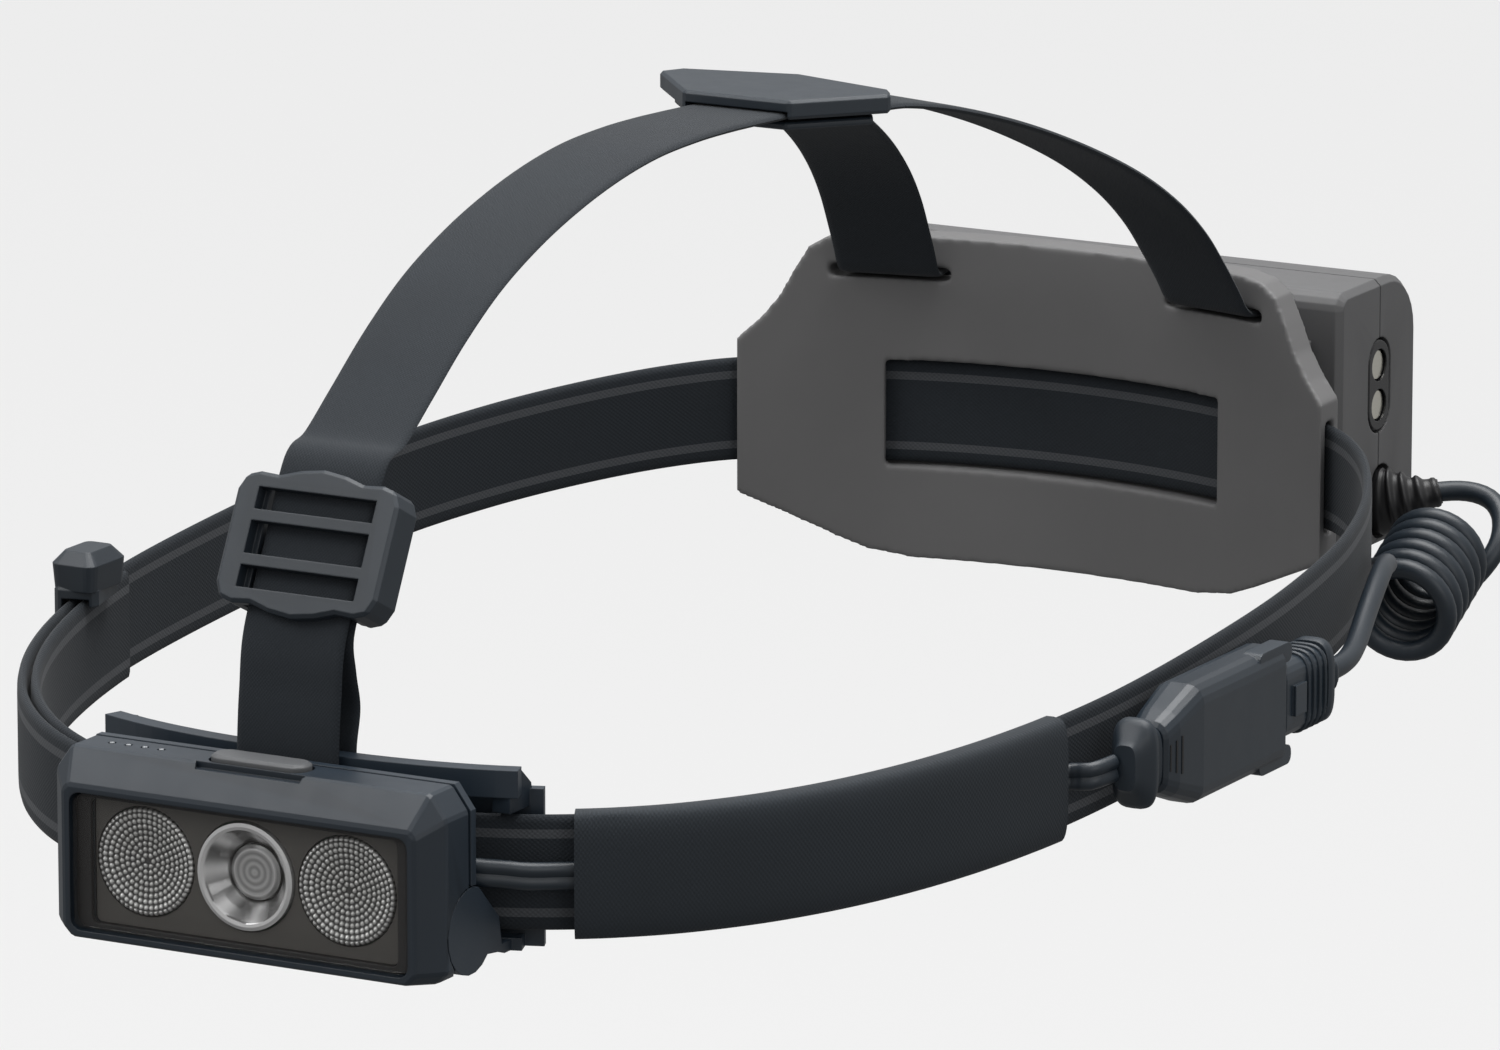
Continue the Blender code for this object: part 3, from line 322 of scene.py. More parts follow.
def moulded(name, colour, roughness, grain=0.35, depth=0.012, soften=0.25, wear=0.16):
    """Moulded plastic or rubber: a fine grain, faint blotches and edges rubbed paler."""
    look = Look(name, colour, roughness)
    fine = look.noise(1000.0 / grain, 2.0)
    broad = look.noise(38.0, 3.0)
    edge = look.node("ShaderNodeNewGeometry").outputs["Pointiness"]
    rubbed = look.node("ShaderNodeMapRange")
    look.put(rubbed, "Value", edge)
    look.put(rubbed, "From Min", 0.52)
    look.put(rubbed, "From Max", 0.60)
    look.put(rubbed, "To Max", wear)
    dull = tuple(channel * 0.88 for channel in colour)
    bright = tuple(channel * 1.12 for channel in colour)
    pale = tuple(min(channel * 2.4 + 0.01, 1.0) for channel in colour)
    base = look.mix(broad, dull, bright)
    look.put(look.shader, "Base Color", look.mix(rubbed.outputs["Result"], base, pale))
    look.put(look.shader, "Roughness", look.between(look.noise(210.0), roughness - 0.06,
                                                    roughness + 0.06))
    look.bump(fine, depth, 0.6, soften)
    return look.material


def webbing(name, colour, stripe=None, rib=0.62, course=0.75):
    """Woven elastic: ribs along, courses across, fuzz, painted shade in the hollows of the weave,
    and two paler stripes if asked.
    """
    look = Look(name, colour, 0.85)
    u, v = look.across()
    rows = look.maths("SINE", look.maths("MULTIPLY", v, math.tau / course))
    ribs = look.maths("SINE", look.maths("MULTIPLY", u, math.tau / rib))
    woven = look.maths("MULTIPLY", rows, ribs)
    raised = look.maths("MULTIPLY_ADD", woven, 0.35, 0.5)
    height = look.maths("ADD", raised, look.maths("MULTIPLY", look.noise(2600.0), 0.45))
    base = look.mix(look.noise(60.0), tuple(c * 0.80 for c in colour),
                    tuple(c * 1.18 for c in colour))
    if stripe:
        wide = look.maths("ABSOLUTE", u)
        inside = look.maths("COMPARE", wide, STRIPE_MIDDLE, STRIPE_HALF_WIDTH)
        base = look.mix(inside, base, stripe)
    # Painted shade: the colour is darkened in the hollows of the weave, following the same height as
    # the bump.
    shade = look.between(raised, 0.0, 1.0)
    weave_hollow_shade = look.mix(shade, tuple(c * 0.55 for c in colour), (1.0, 1.0, 1.0))
    painted_shade_mix = look.node("ShaderNodeMix", data_type="RGBA", blend_type="MULTIPLY")
    look.put(painted_shade_mix, 0, 0.45)
    look.put(painted_shade_mix, 6, base)
    look.put(painted_shade_mix, 7, weave_hollow_shade)
    look.put(look.shader, "Base Color", painted_shade_mix.outputs[2])
    look.put(look.shader, "Sheen Weight", 0.05)
    look.put(look.shader, "Sheen Roughness", 0.45)
    look.bump(height, 0.10, 0.55)
    return look.material


def metal(name, colour, roughness):
    """Bare metal with fine scratches."""
    look = Look(name, colour, roughness, 1.0)
    marks = look.noise(900.0, 4.0)
    look.put(look.shader, "Roughness", look.between(marks, roughness * 0.7, roughness * 1.4))
    look.bump(marks, 0.004, 0.3, 0.08)
    return look.material


def clear(name, colour, alpha, roughness=0.06):
    """Clear plastic, seen through by its alpha so that it exports as it renders."""
    look = Look(name, colour, roughness)
    look.put(look.shader, "Alpha", alpha)
    look.put(look.shader, "Coat Weight", 0.6)
    look.put(look.shader, "Coat Roughness", 0.04)
    haze = look.noise(420.0)
    look.put(look.shader, "Roughness", look.between(haze, roughness, roughness + 0.05))
    return look.material


def wear_look(material, *names):
    """Give CAD pieces a material in place of their plain one."""
    for name in names:
        mesh = NODES[name].data
        mesh.materials.clear()
        mesh.materials.append(material)


def dress(piece, material, body, slot_name, *stands_for):
    """Finish a new piece: its material, what it moves with and what it stands for."""
    piece.data.materials.clear()
    piece.data.materials.append(material)
    if stands_for:
        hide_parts(*stands_for)
    if body:
        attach(piece, body)
    return piece


# ----------------------------------------------------------------------- cords

def coil_line():
    """Turns of the coil from its rear end to its front one."""
    axis = (COIL_REAR - COIL_FRONT).normalized()
    side = axis.cross(Vector((0.0, 0.0, 1.0))).normalized()
    lift = side.cross(axis).normalized()
    line = []
    for step in range(COIL_STEPS + 1):
        share = 1.0 - step / COIL_STEPS
        angle = COIL_START + (COIL_STOP - COIL_START) * share
        line.append(COIL_FRONT.lerp(COIL_REAR, share)
                    + (side * math.cos(angle) + lift * math.sin(angle)) * COIL_RADIUS)
    return line


def eased(line, passes=10):
    """Take the kinks out of a line, keeping both of its ends."""
    for _ in range(passes):
        line = [line[0]] + [(line[i - 1] + line[i] * 2.0 + line[i + 1]) / 4.0
                            for i in range(1, len(line) - 1)] + [line[-1]]
    return line


tail_route = [(49.6, 136.9, -2.6), (53.5, 138.8, -2.2), (58.0, 138.9, -2.9), (61.4, 136.2, -5.0),
              (62.6, 132.4, -8.6)]
lead_route = [(51.9, 105.7, -11.2), (53.6, 103.0, -8.0), (56.6, 99.0, -5.9), (60.2, 94.2, -4.3),
              (64.6, 87.6, -2.2), (69.4, 79.0, 0.4), (73.8, 70.0, 2.9), (77.3, 61.5, 4.4),
              (79.9, 53.5, 3.4), (82.3, 45.0, 0.9), (84.6, 37.5, -1.1), (86.1, 31.0, -1.9),
              (PLUG_X, 25.4, PLUG_Z)]
coil = coil_line()
tail = smooth_curve(tail_route + [coil[0]], per_span=4)[:-1]
lead = smooth_curve([coil[-1]] + lead_route, per_span=4)[1:]
cord_line = eased(evenly(tail + coil + lead, 1.3), 3)
cord = sweep("coiled_cord", cord_line, CORD_DIAMETER / 2.0)
cord_rubber = moulded("cord_rubber", NAVY, 0.42, 0.25, 0.006, 0.0, 0.05)
dress(cord, cord_rubber, None, "cord_jacket", "cord_lead", "cord_coil", "cord_tail")
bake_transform(cord)


# ------------------------------------------------------------ headband and lead

def ring_outline():
    """Half of the headband's loop from above, from its front to its back."""
    points = []
    for degrees in (0, 4, 8, 12, 16, 21, 27, 34, 42, 50, 58, 66, 74, 82, 90, 98):
        angle = math.radians(degrees)
        across = max(math.sin(angle), 0.0) ** (2.0 / RING_POWER)
        along = abs(math.cos(angle)) ** (2.0 / RING_POWER)
        sign = -1.0 if degrees < 90 else 1.0
        points.append((RING_HALF_WIDTH * across, sign * RING_HALF_LENGTH * along))
    points += [(77.4, 45.0), (73.6, 60.5), (69.0, 73.0), (63.3, 84.5), (57.4, 93.2)]
    for x in (50.5, 42.0, 33.0, 24.0, 16.0, 8.0, 0.0):
        points.append((x, PAD_CENTRE_Y + math.sqrt(PAD_MIDDLE_RADIUS ** 2 - x * x)))
    return points


half = ring_outline()
RING = smooth_curve([(x, y, 0.0) for x, y in half + [(-x, y) for x, y in half[-2:0:-1]]],
                    closed=True)
RING_LENGTHS = [0.0]
for here, there in zip(RING, RING[1:] + RING[:1]):
    RING_LENGTHS.append(RING_LENGTHS[-1] + (there - here).length)
RING_TOTAL = RING_LENGTHS[-1]


def ring_at(distance):
    """Point on the loop's middle line at a distance from the front, going round by +X."""
    distance = distance % RING_TOTAL
    low, high = 0, len(RING)
    while high - low > 1:
        middle = (low + high) // 2
        if RING_LENGTHS[middle] <= distance:
            low = middle
        else:
            high = middle
    share = (distance - RING_LENGTHS[low]) / (RING_LENGTHS[low + 1] - RING_LENGTHS[low])
    return RING[low].lerp(RING[(low + 1) % len(RING)], share)


def ring_frame(distance):
    """A point of the band's middle line at its real height, and the way outwards."""
    along = (ring_at(distance + 1.5) - ring_at(distance - 1.5)).normalized()
    point = ring_at(distance)
    return (Vector((point.x, point.y, RING_SLOPE * point.y)), Vector((along.y, -along.x, 0.0)))


def ring_distance(axis, value, start, stop):
    """Distance along the loop, between two limits, where x or y takes a value."""
    choices = [start + (stop - start) * step / 400 for step in range(401)]
    return min(choices, key=lambda distance: abs(ring_at(distance)[axis] - value))


def ease(value, low, high):
    """A smooth step from 0 at low to 1 at high."""
    share = min(max((value - low) / (high - low), 0.0), 1.0)
    return share * share * (3.0 - 2.0 * share)


def band_shift(distance):
    """The strap's two ends overlap on the left, one outside the other."""
    if distance < 60.0:
        return -LAYER_SHIFT * (1.0 - ease(distance, 0.0, FRONT_LAP_END))
    return LAYER_SHIFT * ease(distance, RING_TOTAL - REAR_LAP_START,
                              RING_TOTAL - REAR_LAP_FULL)


def strap_profile(width, thickness, steps=12):
    """Section of webbing as (across, height): flat, with rolled selvedges."""
    top = []
    for step in range(steps + 1):
        share = math.sin(math.pi / 2.0 * (2.0 * step / steps - 1.0))
        height = thickness / 2.0 * max(1.0 - abs(share) ** 14, 0.0) ** (1.0 / 2.6)
        top.append((share * width / 2.0, height))
    return top + [(u, -h) for u, h in top[-2:0:-1]]


FRONT_RIGHT = ring_distance(0, 38.0, 0.0, 60.0)
SLEEVE_END = ring_distance(1, -44.0, 60.0, 160.0)
SOCKET_AT = ring_distance(1, -42.0, 60.0, 160.0)
TAIL_END = ring_distance(1, -32.5, RING_TOTAL - 180.0, RING_TOTAL - 60.0) - RING_TOTAL
OUTER_END = RING_TOTAL - 19.0

band_weave = webbing("band_webbing", WEB_NAVY, STRIPE)
strap_weave = webbing("strap_webbing", WEB_NAVY, None, 0.5, 0.6)
sleeve_knit = webbing("sleeve_fabric", (0.0135, 0.0195, 0.0265), None, 0.8, 0.55)

profile = strap_profile(BAND_WIDTH, BAND_THICK)
count = int((OUTER_END - TAIL_END) / 2.0)
sections = []
for index in range(count + 1):
    distance = TAIL_END + (OUTER_END - TAIL_END) * index / count
    centre, outward = ring_frame(distance)
    centre = centre + outward * band_shift(distance)
    sections.append([centre + Vector((0.0, 0.0, u)) + outward * h for u, h in profile])
band = skin("headband_webbing", sections, [u for u, h in profile])
dress(outward_normals(band), band_weave, "harness", "strap_webbing", "headband")


def oval(inner, outer, half_height, steps=32, power=4.0):
    """Rounded-rectangle section between two depths, as (outward, height)."""
    middle, half_depth = (inner + outer) / 2.0, (outer - inner) / 2.0
    points = []
    for step in range(steps):
        angle = math.tau * step / steps
        c, s = math.cos(angle), math.sin(angle)
        points.append((middle + half_depth * math.copysign(abs(c) ** (2.0 / power), c),
                       half_height * math.copysign(abs(s) ** (2.0 / power), s)))
    return points


# The sleeve is a fabric tube: its wall is an outer skin joined to an inner one at both mouths.
sleeve_rows = int((SLEEVE_END - FRONT_RIGHT) / 1.6)
outer_ring = oval(*SLEEVE_OUTSIDE)
inner_ring = oval(*SLEEVE_INSIDE)
sections, along = [], []
for index in range(sleeve_rows + 1):
    distance = FRONT_RIGHT + (SLEEVE_END - FRONT_RIGHT) * index / sleeve_rows
    centre, outward = ring_frame(distance)
    hem = -0.18 * ease(3.0 - abs(index - 3), 0.0, 2.0)
    sections.append([centre + outward * (u + (hem if u > 3.0 else 0.0)) + Vector((0, 0, v))
                     for u, v in outer_ring])
    along.append(distance)
for index in range(sleeve_rows, -1, -1):
    distance = FRONT_RIGHT + (SLEEVE_END - FRONT_RIGHT) * index / sleeve_rows
    centre, outward = ring_frame(distance)
    sections.append([centre + outward * u + Vector((0.0, 0.0, v)) for u, v in inner_ring])
    along.append(distance)
sleeve = skin("sleeve_knit", sections, [v for u, v in outer_ring], along, closed=True)
dress(outward_normals(sleeve), sleeve_knit, "harness", "sleeve_fabric", "cable_sleeve")

lead_path = [Vector((25.9, -116.3, -6.0)), Vector((28.8, -115.4, -6.1)),
             Vector((31.6, -113.2, -6.5)), Vector((34.2, -111.1, -7.0))]
distance = FRONT_RIGHT - 1.5
while distance < SOCKET_AT:
    centre, outward = ring_frame(distance)
    lead_path.append(centre + outward * 2.25)
    distance += 6.0
lead_path += [Vector((83.4, -42.6, -2.5)), Vector((84.9, -38.4, -2.1))]
lead_line = evenly(smooth_curve(lead_path, per_span=6), 1.5)
two_cores = [(-0.80, -1.7), (-0.40, -1.93), (0.05, -1.93), (0.50, -1.6), (0.82, -1.0),
             (0.60, -0.35), (0.40, 0.0), (0.60, 0.35), (0.82, 1.0), (0.50, 1.6), (0.05, 1.93),
             (-0.40, 1.93), (-0.80, 1.7), (-0.85, 0.0)]
sections = []
for index, point in enumerate(lead_line):
    step = lead_line[min(index + 1, len(lead_line) - 1)] - lead_line[max(index - 1, 0)]
    outward = step.normalized().cross(Vector((0.0, 0.0, 1.0))).normalized()
    sections.append([point + outward * u + Vector((0.0, 0.0, v)) for u, v in two_cores])
twin = skin("flat_twin_lead", sections, [v for u, v in two_cores])
dress(outward_normals(twin), cord_rubber, None, "cord_jacket", "flat_lead")
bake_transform(twin)


# ------------------------------------------------------------- overhead straps

def flat_strap(name, line, across_way, width, thickness):
    """Webbing along a line, its width set along one direction."""
    shape = strap_profile(width, thickness)
    way = Vector(across_way).normalized()
    made = []
    for index, point in enumerate(line):
        step = (line[min(index + 1, len(line) - 1)] - line[max(index - 1, 0)]).normalized()
        lift = step.cross(way).normalized()
        made.append([point + way * u + lift * h for u, h in shape])
    return outward_normals(skin(name, made, [u for u, h in shape]))


LEAN_Y, LEAN_Z = math.cos(BUCKLE_LEAN), math.sin(BUCKLE_LEAN)


def behind_buckle(down):
    """A point of the strap's back layer, a distance down from the buckle's middle."""
    return (BUCKLE_Y + STRAP_LAYER_GAP * LEAN_Z - down * LEAN_Y,
            BUCKLE_Z - STRAP_LAYER_GAP * LEAN_Y - down * LEAN_Z)


top_route = [(17.4, 73.2), (9.0, 73.3), (0.0, 73.8), (-8.0, 74.2), (-17.0, 74.4), (-28.0, 74.1),
             (-39.0, 72.8), (-50.0, 70.6), (-61.0, 67.5), (-72.0, 63.2), (-82.0, 57.6),
             (-91.0, 51.4), (-98.0, 46.6),
             (BUCKLE_Y + 12.0 * LEAN_Y, BUCKLE_Z + 12.0 * LEAN_Z), (BUCKLE_Y, BUCKLE_Z),
             (BUCKLE_Y - 12.0 * LEAN_Y, BUCKLE_Z - 12.0 * LEAN_Z),
             (-115.4, 15.0), (-116.0, 9.0), (-116.1, 4.2), (-115.5, 2.3), (-113.85, 1.6),
             (-112.2, 2.3), (-111.6, 4.2), (-111.4, 8.0), (-110.4, 13.0), (-111.4, 18.0),
             behind_buckle(11.0), behind_buckle(4.0)]
line = smooth_curve([(0.0, y, z) for y, z in top_route], per_span=8)
dress(flat_strap("crown_webbing", line, (1.0, 0.0, 0.0), STRAP_WIDTH, STRAP_THICK),
      strap_weave, "harness", "strap_webbing", "top_strap")

rear_route = [(22.0, 73.2), (29.0, 72.7), (40.0, 70.4), (54.0, 66.1), (67.0, 61.0),
              (79.0, 55.2), (88.0, 49.4), (94.5, 43.6), (99.3, 37.6), (102.3, 33.4),
              (103.9, 30.9), (105.4, 29.7), (107.6, 29.4), (111.6, 29.4), (113.2, 28.7),
              (113.9, 27.2), (113.9, 25.4)]
for side, label in ((-1.0, "left"), (1.0, "right")):
    line = smooth_curve([(side * (8.9 + REAR_SPREAD * (y - 22.0)), y, z)
                         for y, z in rear_route], per_span=8)
    dress(flat_strap("rear_webbing_" + label, line, (1.0, -side * REAR_SPREAD, 0.0),
                     STRAP_WIDTH, STRAP_THICK),
          strap_weave, "harness", "strap_webbing", "rear_strap_" + label)


# ------------------------------------------------------------------------ pads

def softened(name, node, voxel, passes):
    """A rounded, moulded version of a CAD piece, remeshed finely and relaxed."""
    piece = bpy.data.objects.new(name, NODES[node].data.copy())
    bpy.context.scene.collection.objects.link(piece)
    remesh = piece.modifiers.new("remesh", "REMESH")
    remesh.mode = "VOXEL"
    remesh.voxel_size = voxel * MM
    relax = piece.modifiers.new("relax", "SMOOTH")
    relax.factor = 0.5
    relax.iterations = passes
    bpy.context.view_layer.update()
    shaped = piece.evaluated_get(bpy.context.evaluated_depsgraph_get())
    mesh = bpy.data.meshes.new_from_object(shaped)
    piece.modifiers.clear()
    piece.data = mesh
    mesh.shade_smooth()
    return piece


pad_rubber = moulded("pad_rubber", GREY, 0.62, 0.30, 0.010, 0.0, 0.10)
dress(softened("moulded_rear_pad", "rear_pad", 0.45, 3), pad_rubber, "harness",
      "pad_rubber", "rear_pad")
brow = softened("brow_cushion", "forehead_pad", 0.4, 10)
dress(brow, moulded("brow_foam", (0.055, 0.056, 0.060), 0.85, 0.5, 0.05, 0.0, 0.0), "harness",
      "pad_rubber", "forehead_pad")


# ---------------------------------------------------------------------- optics

def lens_face(name, centre_x, profile, relief, rings, spokes, height):
    """A turned face with relief; its UVs are the relief, as a share of height, and the radius."""
    made, shares = [], []
    for index in range(rings + 1):
        at = index / rings * (len(profile) - 1)
        low = min(int(at), len(profile) - 2)
        radius, depth = (profile[low][k] + (profile[low + 1][k] - profile[low][k]) * (at - low)
                         for k in (0, 1))
        ring = []
        for spoke in range(spokes):
            angle = math.tau * spoke / spokes
            lift = relief(radius, angle, depth)
            shares.append((lift / height, radius))
            ring.append(Vector((centre_x + radius * math.cos(angle), depth - lift,
                                OPTIC_Z + radius * math.sin(angle))))
        made.append(ring)
    piece = skin(name, made, [0.0] * spokes)
    layer = piece.data.uv_layers["surface"]
    for loop in piece.data.loops:
        layer.data[loop.index].uv = shares[loop.vertex_index]
    return outward_normals(piece)


def painted_optic_metal(name, low, high, rim, roughness, rim_radius):
    """Mirror coating with painted light: painted shade darkens the hollows, and painted highlights
    lighten the raised relief, more so past the rim radius.
    """
    look = Look(name, high, roughness, 0.7)
    # Painted shade where the relief is low, painted highlight where it is high, brightest past the
    # rim radius.
    lift, radius = look.across()
    edge = look.maths("GREATER_THAN", radius, rim_radius)
    base = look.mix(lift, low, look.mix(edge, high, rim))
    look.put(look.shader, "Base Color", base)
    return look.material


PEBBLE = 0.26
PEBBLE_PITCH = 0.80


def pebbles(radius, angle, depth):
    """Rounded dots in rings on the front of a flood lens."""
    if depth > -126.3 or radius < 0.5:
        return 0.0
    ring = round(radius / PEBBLE_PITCH)
    dots = max(int(math.tau * ring), 1)
    around = (angle / math.tau * dots + 0.5 * (ring % 2)) % 1.0 - 0.5
    off = math.hypot(radius / PEBBLE_PITCH - ring, around)
    return PEBBLE * max(1.0 - (off / 0.47) ** 2, 0.0)


# The front of the lens is sampled closely so that every dot is round; the rest is plain.
FLOOD = [(0.02 + 6.98 * step / 20, -126.55 - 0.8 * (step / 20) ** 2) for step in range(21)]
FLOOD += [(7.45, -127.05), (7.45, -126.0), (5.6, -124.6), (3.4, -123.5), (0.02, -123.5)]
# Painted light on the flood lenses: the darkened gaps between the dots are painted shade, and the
# bright dot tops and outer rings are painted highlights.
silver = painted_optic_metal("flood_silver", (0.10, 0.10, 0.098), (0.80, 0.80, 0.78),
                     (0.98, 0.98, 0.96), 0.38, 4.9)
for side, label in ((-1.0, "left"), (1.0, "right")):
    lens_piece = lens_face("flood_optic_" + label, side * OPTIC_PITCH, FLOOD, pebbles, 150, 300,
                           PEBBLE)
    dress(lens_piece, silver, "lamp", "clear_plastic", "flood_lens_" + label)

FLUTE = 0.22


def facets(radius, angle, depth):
    """Shallow flutes down the inside of the spot's reflector, and a plain rim."""
    if radius > 6.4:
        return FLUTE
    if depth > -124.0:
        return 0.0
    return FLUTE * abs(math.sin(angle * 3.5)) ** 3


CUP = [(3.95, -123.55), (4.25, -124.5), (5.25, -125.9), (6.45, -127.35), (6.9, -127.48),
       (7.4, -127.3), (7.4, -126.0), (5.7, -124.4), (4.6, -123.5)]
# Painted light on the spot's reflector: the darkened flutes are painted shade and the bright rim is
# a painted highlight.
dress(lens_face("spot_cup", 0.0, CUP, facets, 96, 168, FLUTE),
      painted_optic_metal("spot_mirror", (0.28, 0.28, 0.28), (0.90, 0.90, 0.90), (0.98, 0.98, 0.98),
                  0.18, 6.2), "lamp", "mirror_coat", "spot_reflector")

GROOVE = 0.05


def grooves(radius, angle, depth):
    """Fine rings on the clear disc in front of the spot."""
    if depth > -124.7:
        return 0.0
    return GROOVE * (0.5 + 0.5 * math.sin(radius * math.tau / 0.95))


DISC = [(0.02, -124.95), (3.3, -124.95), (3.85, -124.6), (3.85, -124.0), (2.0, -123.7),
        (0.02, -123.7)]
# Painted light on the clear disc: the darkened grooves are painted shade and the light rings are
# painted highlights.
disc_look = painted_optic_metal("spot_disc_clear", (0.42, 0.42, 0.42), (0.70, 0.70, 0.70),
                        (0.9, 0.9, 0.9), 0.30, 3.1)
dress(lens_face("spot_disc", 0.0, DISC, grooves, 120, 64, GROOVE), disc_look, "lamp",
      "clear_plastic", "spot_lens")


# ------------------------------------------------------- details on connectors

BOOT_SIDES = 40
RELIEF_SIDES = 36
RELIEF_RIBS = 5.5
RELIEF_RIB_DEPTH = 0.42


def rounded_loop(centre_x, centre_z, half_x, half_z, power=3.4):
    """Points round a rectangle with rounded corners, in the XZ plane."""
    points = []
    for step in range(BOOT_SIDES):
        angle = math.tau * step / BOOT_SIDES
        c, s = math.cos(angle), math.sin(angle)
        points.append((centre_x + half_x * math.copysign(abs(c) ** (2.0 / power), c),
                       centre_z + half_z * math.copysign(abs(s) ** (2.0 / power), s)))
    return points


def along_y(name, stations):
    """Oval sections along Y; each station is (y, half width, half height)."""
    made = []
    for y, half_x, half_z in stations:
        made.append([Vector((x, y, z)) for x, z in rounded_loop(PLUG_X, PLUG_Z, half_x, half_z)])
    return outward_normals(skin(name, made, [float(step) for step in range(BOOT_SIDES)]))


boot_rubber = moulded("boot_rubber", NAVY, 0.48, 0.3, 0.008, 0.15)
dress(along_y("socket_flange_boot", [(-38.0, 1.7, 3.2), (-36.9, 2.2, 3.9), (-35.9, 3.0, 5.6),
                                     (-35.2, 3.4, 6.3), (-34.4, 3.4, 6.4), (-33.8, 3.2, 6.1),
                                     (-33.5, 2.7, 5.1), (-32.4, 2.5, 4.8), (-31.4, 2.5, 4.6)]),
      boot_rubber, "harness", "connector_boot", "socket_boot")
dress(along_y("plug_flange_boot", [(18.8, 3.3, 5.9), (19.3, 3.5, 6.1), (20.4, 3.5, 6.1),
                                   (20.9, 3.2, 5.5), (21.4, 2.5, 2.9), (22.2, 2.2, 2.3),
                                   (22.7, 2.45, 2.5), (23.2, 2.1, 2.15), (23.7, 2.35, 2.4),
                                   (24.2, 2.0, 2.05), (25.0, 1.9, 1.95)]),
      boot_rubber, "plug", "connector_boot", "plug_boot")


def ribbed_relief():
    """Oval ribs on a boot that narrows round the cord where it leaves the case."""
    centres = smooth_curve([(39.2, 134.0, -4.2), (42.5, 134.0, -4.2), (45.0, 134.6, -3.8),
                            (47.6, 135.7, -3.2), (50.4, 137.3, -2.4)], per_span=12)
    made = []
    for index, centre in enumerate(centres):
        share = index / (len(centres) - 1)
        along = (centres[min(index + 1, len(centres) - 1)] - centres[max(index - 1, 0)]).normalized()
        side = along.cross(Vector((0.0, 0.0, 1.0))).normalized()
        lift = side.cross(along)
        rib = RELIEF_RIB_DEPTH * max(math.sin(share * math.tau * RELIEF_RIBS), -0.35)
        rib *= ease(share, 0.22, 0.30) * (1.0 - ease(share, 0.86, 0.96))
        tall = 5.1 - 2.9 * ease(share, 0.25, 1.0) + rib
        wide = 3.05 - 0.85 * ease(share, 0.25, 1.0) + rib
        if share > 0.97:
            tall, wide = 1.9, 1.9
        made.append([centre + lift * tall * math.sin(math.tau * step / RELIEF_SIDES)
                     + side * wide * math.cos(math.tau * step / RELIEF_SIDES)
                     for step in range(RELIEF_SIDES)])
    return outward_normals(skin("ribbed_relief", made,
                                [float(step) for step in range(RELIEF_SIDES)]))


dress(ribbed_relief(), moulded("relief_rubber", BLACK, 0.42, 0.35, 0.010, 0.12), "harness",
      "black_rubber", "cord_strain_relief")


def groove_shade_strip(name, y, surface, half_height):
    """A narrow black strip of painted shade for an engraved groove, level with the outer face of the
    socket.
    """
    made = [[Vector((x, across, PLUG_Z + half_height * share))
             for x, across in ((surface - 0.4, y - 0.22), (surface + 0.04, y - 0.22),
                               (surface + 0.04, y + 0.22), (surface - 0.4, y + 0.22))]
            for share in (-1.0, -0.5, 0.0, 0.5, 1.0)]
    return outward_normals(skin(name, made, [0.0, 0.4, 0.8, 1.2]))


# Painted shade: three black strips stand for the shade inside the engraved grooves on the socket's
# boot.
painted_groove_shade = moulded("painted_groove_shade", BLACK, 0.6, 0.3, 0.005, 0.0, 0.0)
for number, (y, surface, half_height) in enumerate(((-30.0, 89.3, 1.9), (-28.7, 89.6, 2.3),
                                                    (-27.4, 89.8, 2.7))):
    dress(groove_shade_strip("engraved_line_%d" % (number + 1), y, surface, half_height), painted_groove_shade,
          "harness", "connector_boot")

for number in range(4):
    middle = 11.9 + 1.75 * number
    rib = along_y("plug_rib_%d" % (number + 1),
                  [(middle - 0.42, 3.1, 5.2), (middle - 0.3, 3.75, 5.85),
                   (middle, 3.9, 6.0), (middle + 0.3, 3.75, 5.85), (middle + 0.42, 3.1, 5.2)])
    dress(rib, boot_rubber, "plug", "connector_boot")


# ------------------------------------------------------------ moulded CAD parts

lamp_plastic = moulded("lamp_plastic", DEEP_NAVY, 0.46, 0.28, 0.008, 0.22, 0.45)
fitting_plastic = moulded("fitting_plastic", PALE_NAVY, 0.46, 0.30, 0.010, 0.28, 0.25)
connector_plastic = moulded("connector_plastic", NAVY, 0.36, 0.28, 0.006, 0.25, 0.25)
case_plastic = moulded("case_plastic", CASE_GREY, 0.55, 0.32, 0.012, 0.40, 0.12)
black_rubber = moulded("black_rubber", BLACK, 0.50, 0.35, 0.010, 0.2)
wear_look(lamp_plastic, "lamp_front_shell", "lamp_rear_shell", "mount_bracket")
wear_look(fitting_plastic, "strap_buckle", "hub_plate", "hub_backing", "band_slider")
wear_look(connector_plastic, "cord_socket", "cord_plug")
wear_look(case_plastic, "battery_front_shell", "battery_rear_shell", "battery_saddle")
wear_look(black_rubber, "window_seal", "lamp_gland", "button_switch")
wear_look(moulded("port_plastic", BLACK, 0.25, 0.4, 0.005, 0.25), "charge_port")
wear_look(moulded("button_rubber", (0.075, 0.078, 0.082), 0.55, 0.35, 0.012, 0.4, 0.1),
          "power_button")
wear_look(moulded("optic_plastic", (0.070, 0.066, 0.060), 0.5, 0.4, 0.008, 0.0), "optic_frame")
wear_look(clear("window_smoke", (0.060, 0.055, 0.050), 0.12), "window_lens")
wear_look(clear("tail_red", (0.28, 0.008, 0.010), 0.85), "tail_light_lens")
wear_look(clear("indicator_clear", (0.30, 0.32, 0.34), 0.95, 0.3), "indicator_light_pipe")
wear_look(metal("steel", (0.55, 0.55, 0.56), 0.32), "lamp_screw_left", "lamp_screw_right",
          "hinge_pin_left", "hinge_pin_right", "battery_screw_1", "battery_screw_2",
          "battery_screw_3")
wear_look(metal("contact_metal", (0.72, 0.70, 0.62), 0.22), "charge_contact_lower",
          "charge_contact_upper")
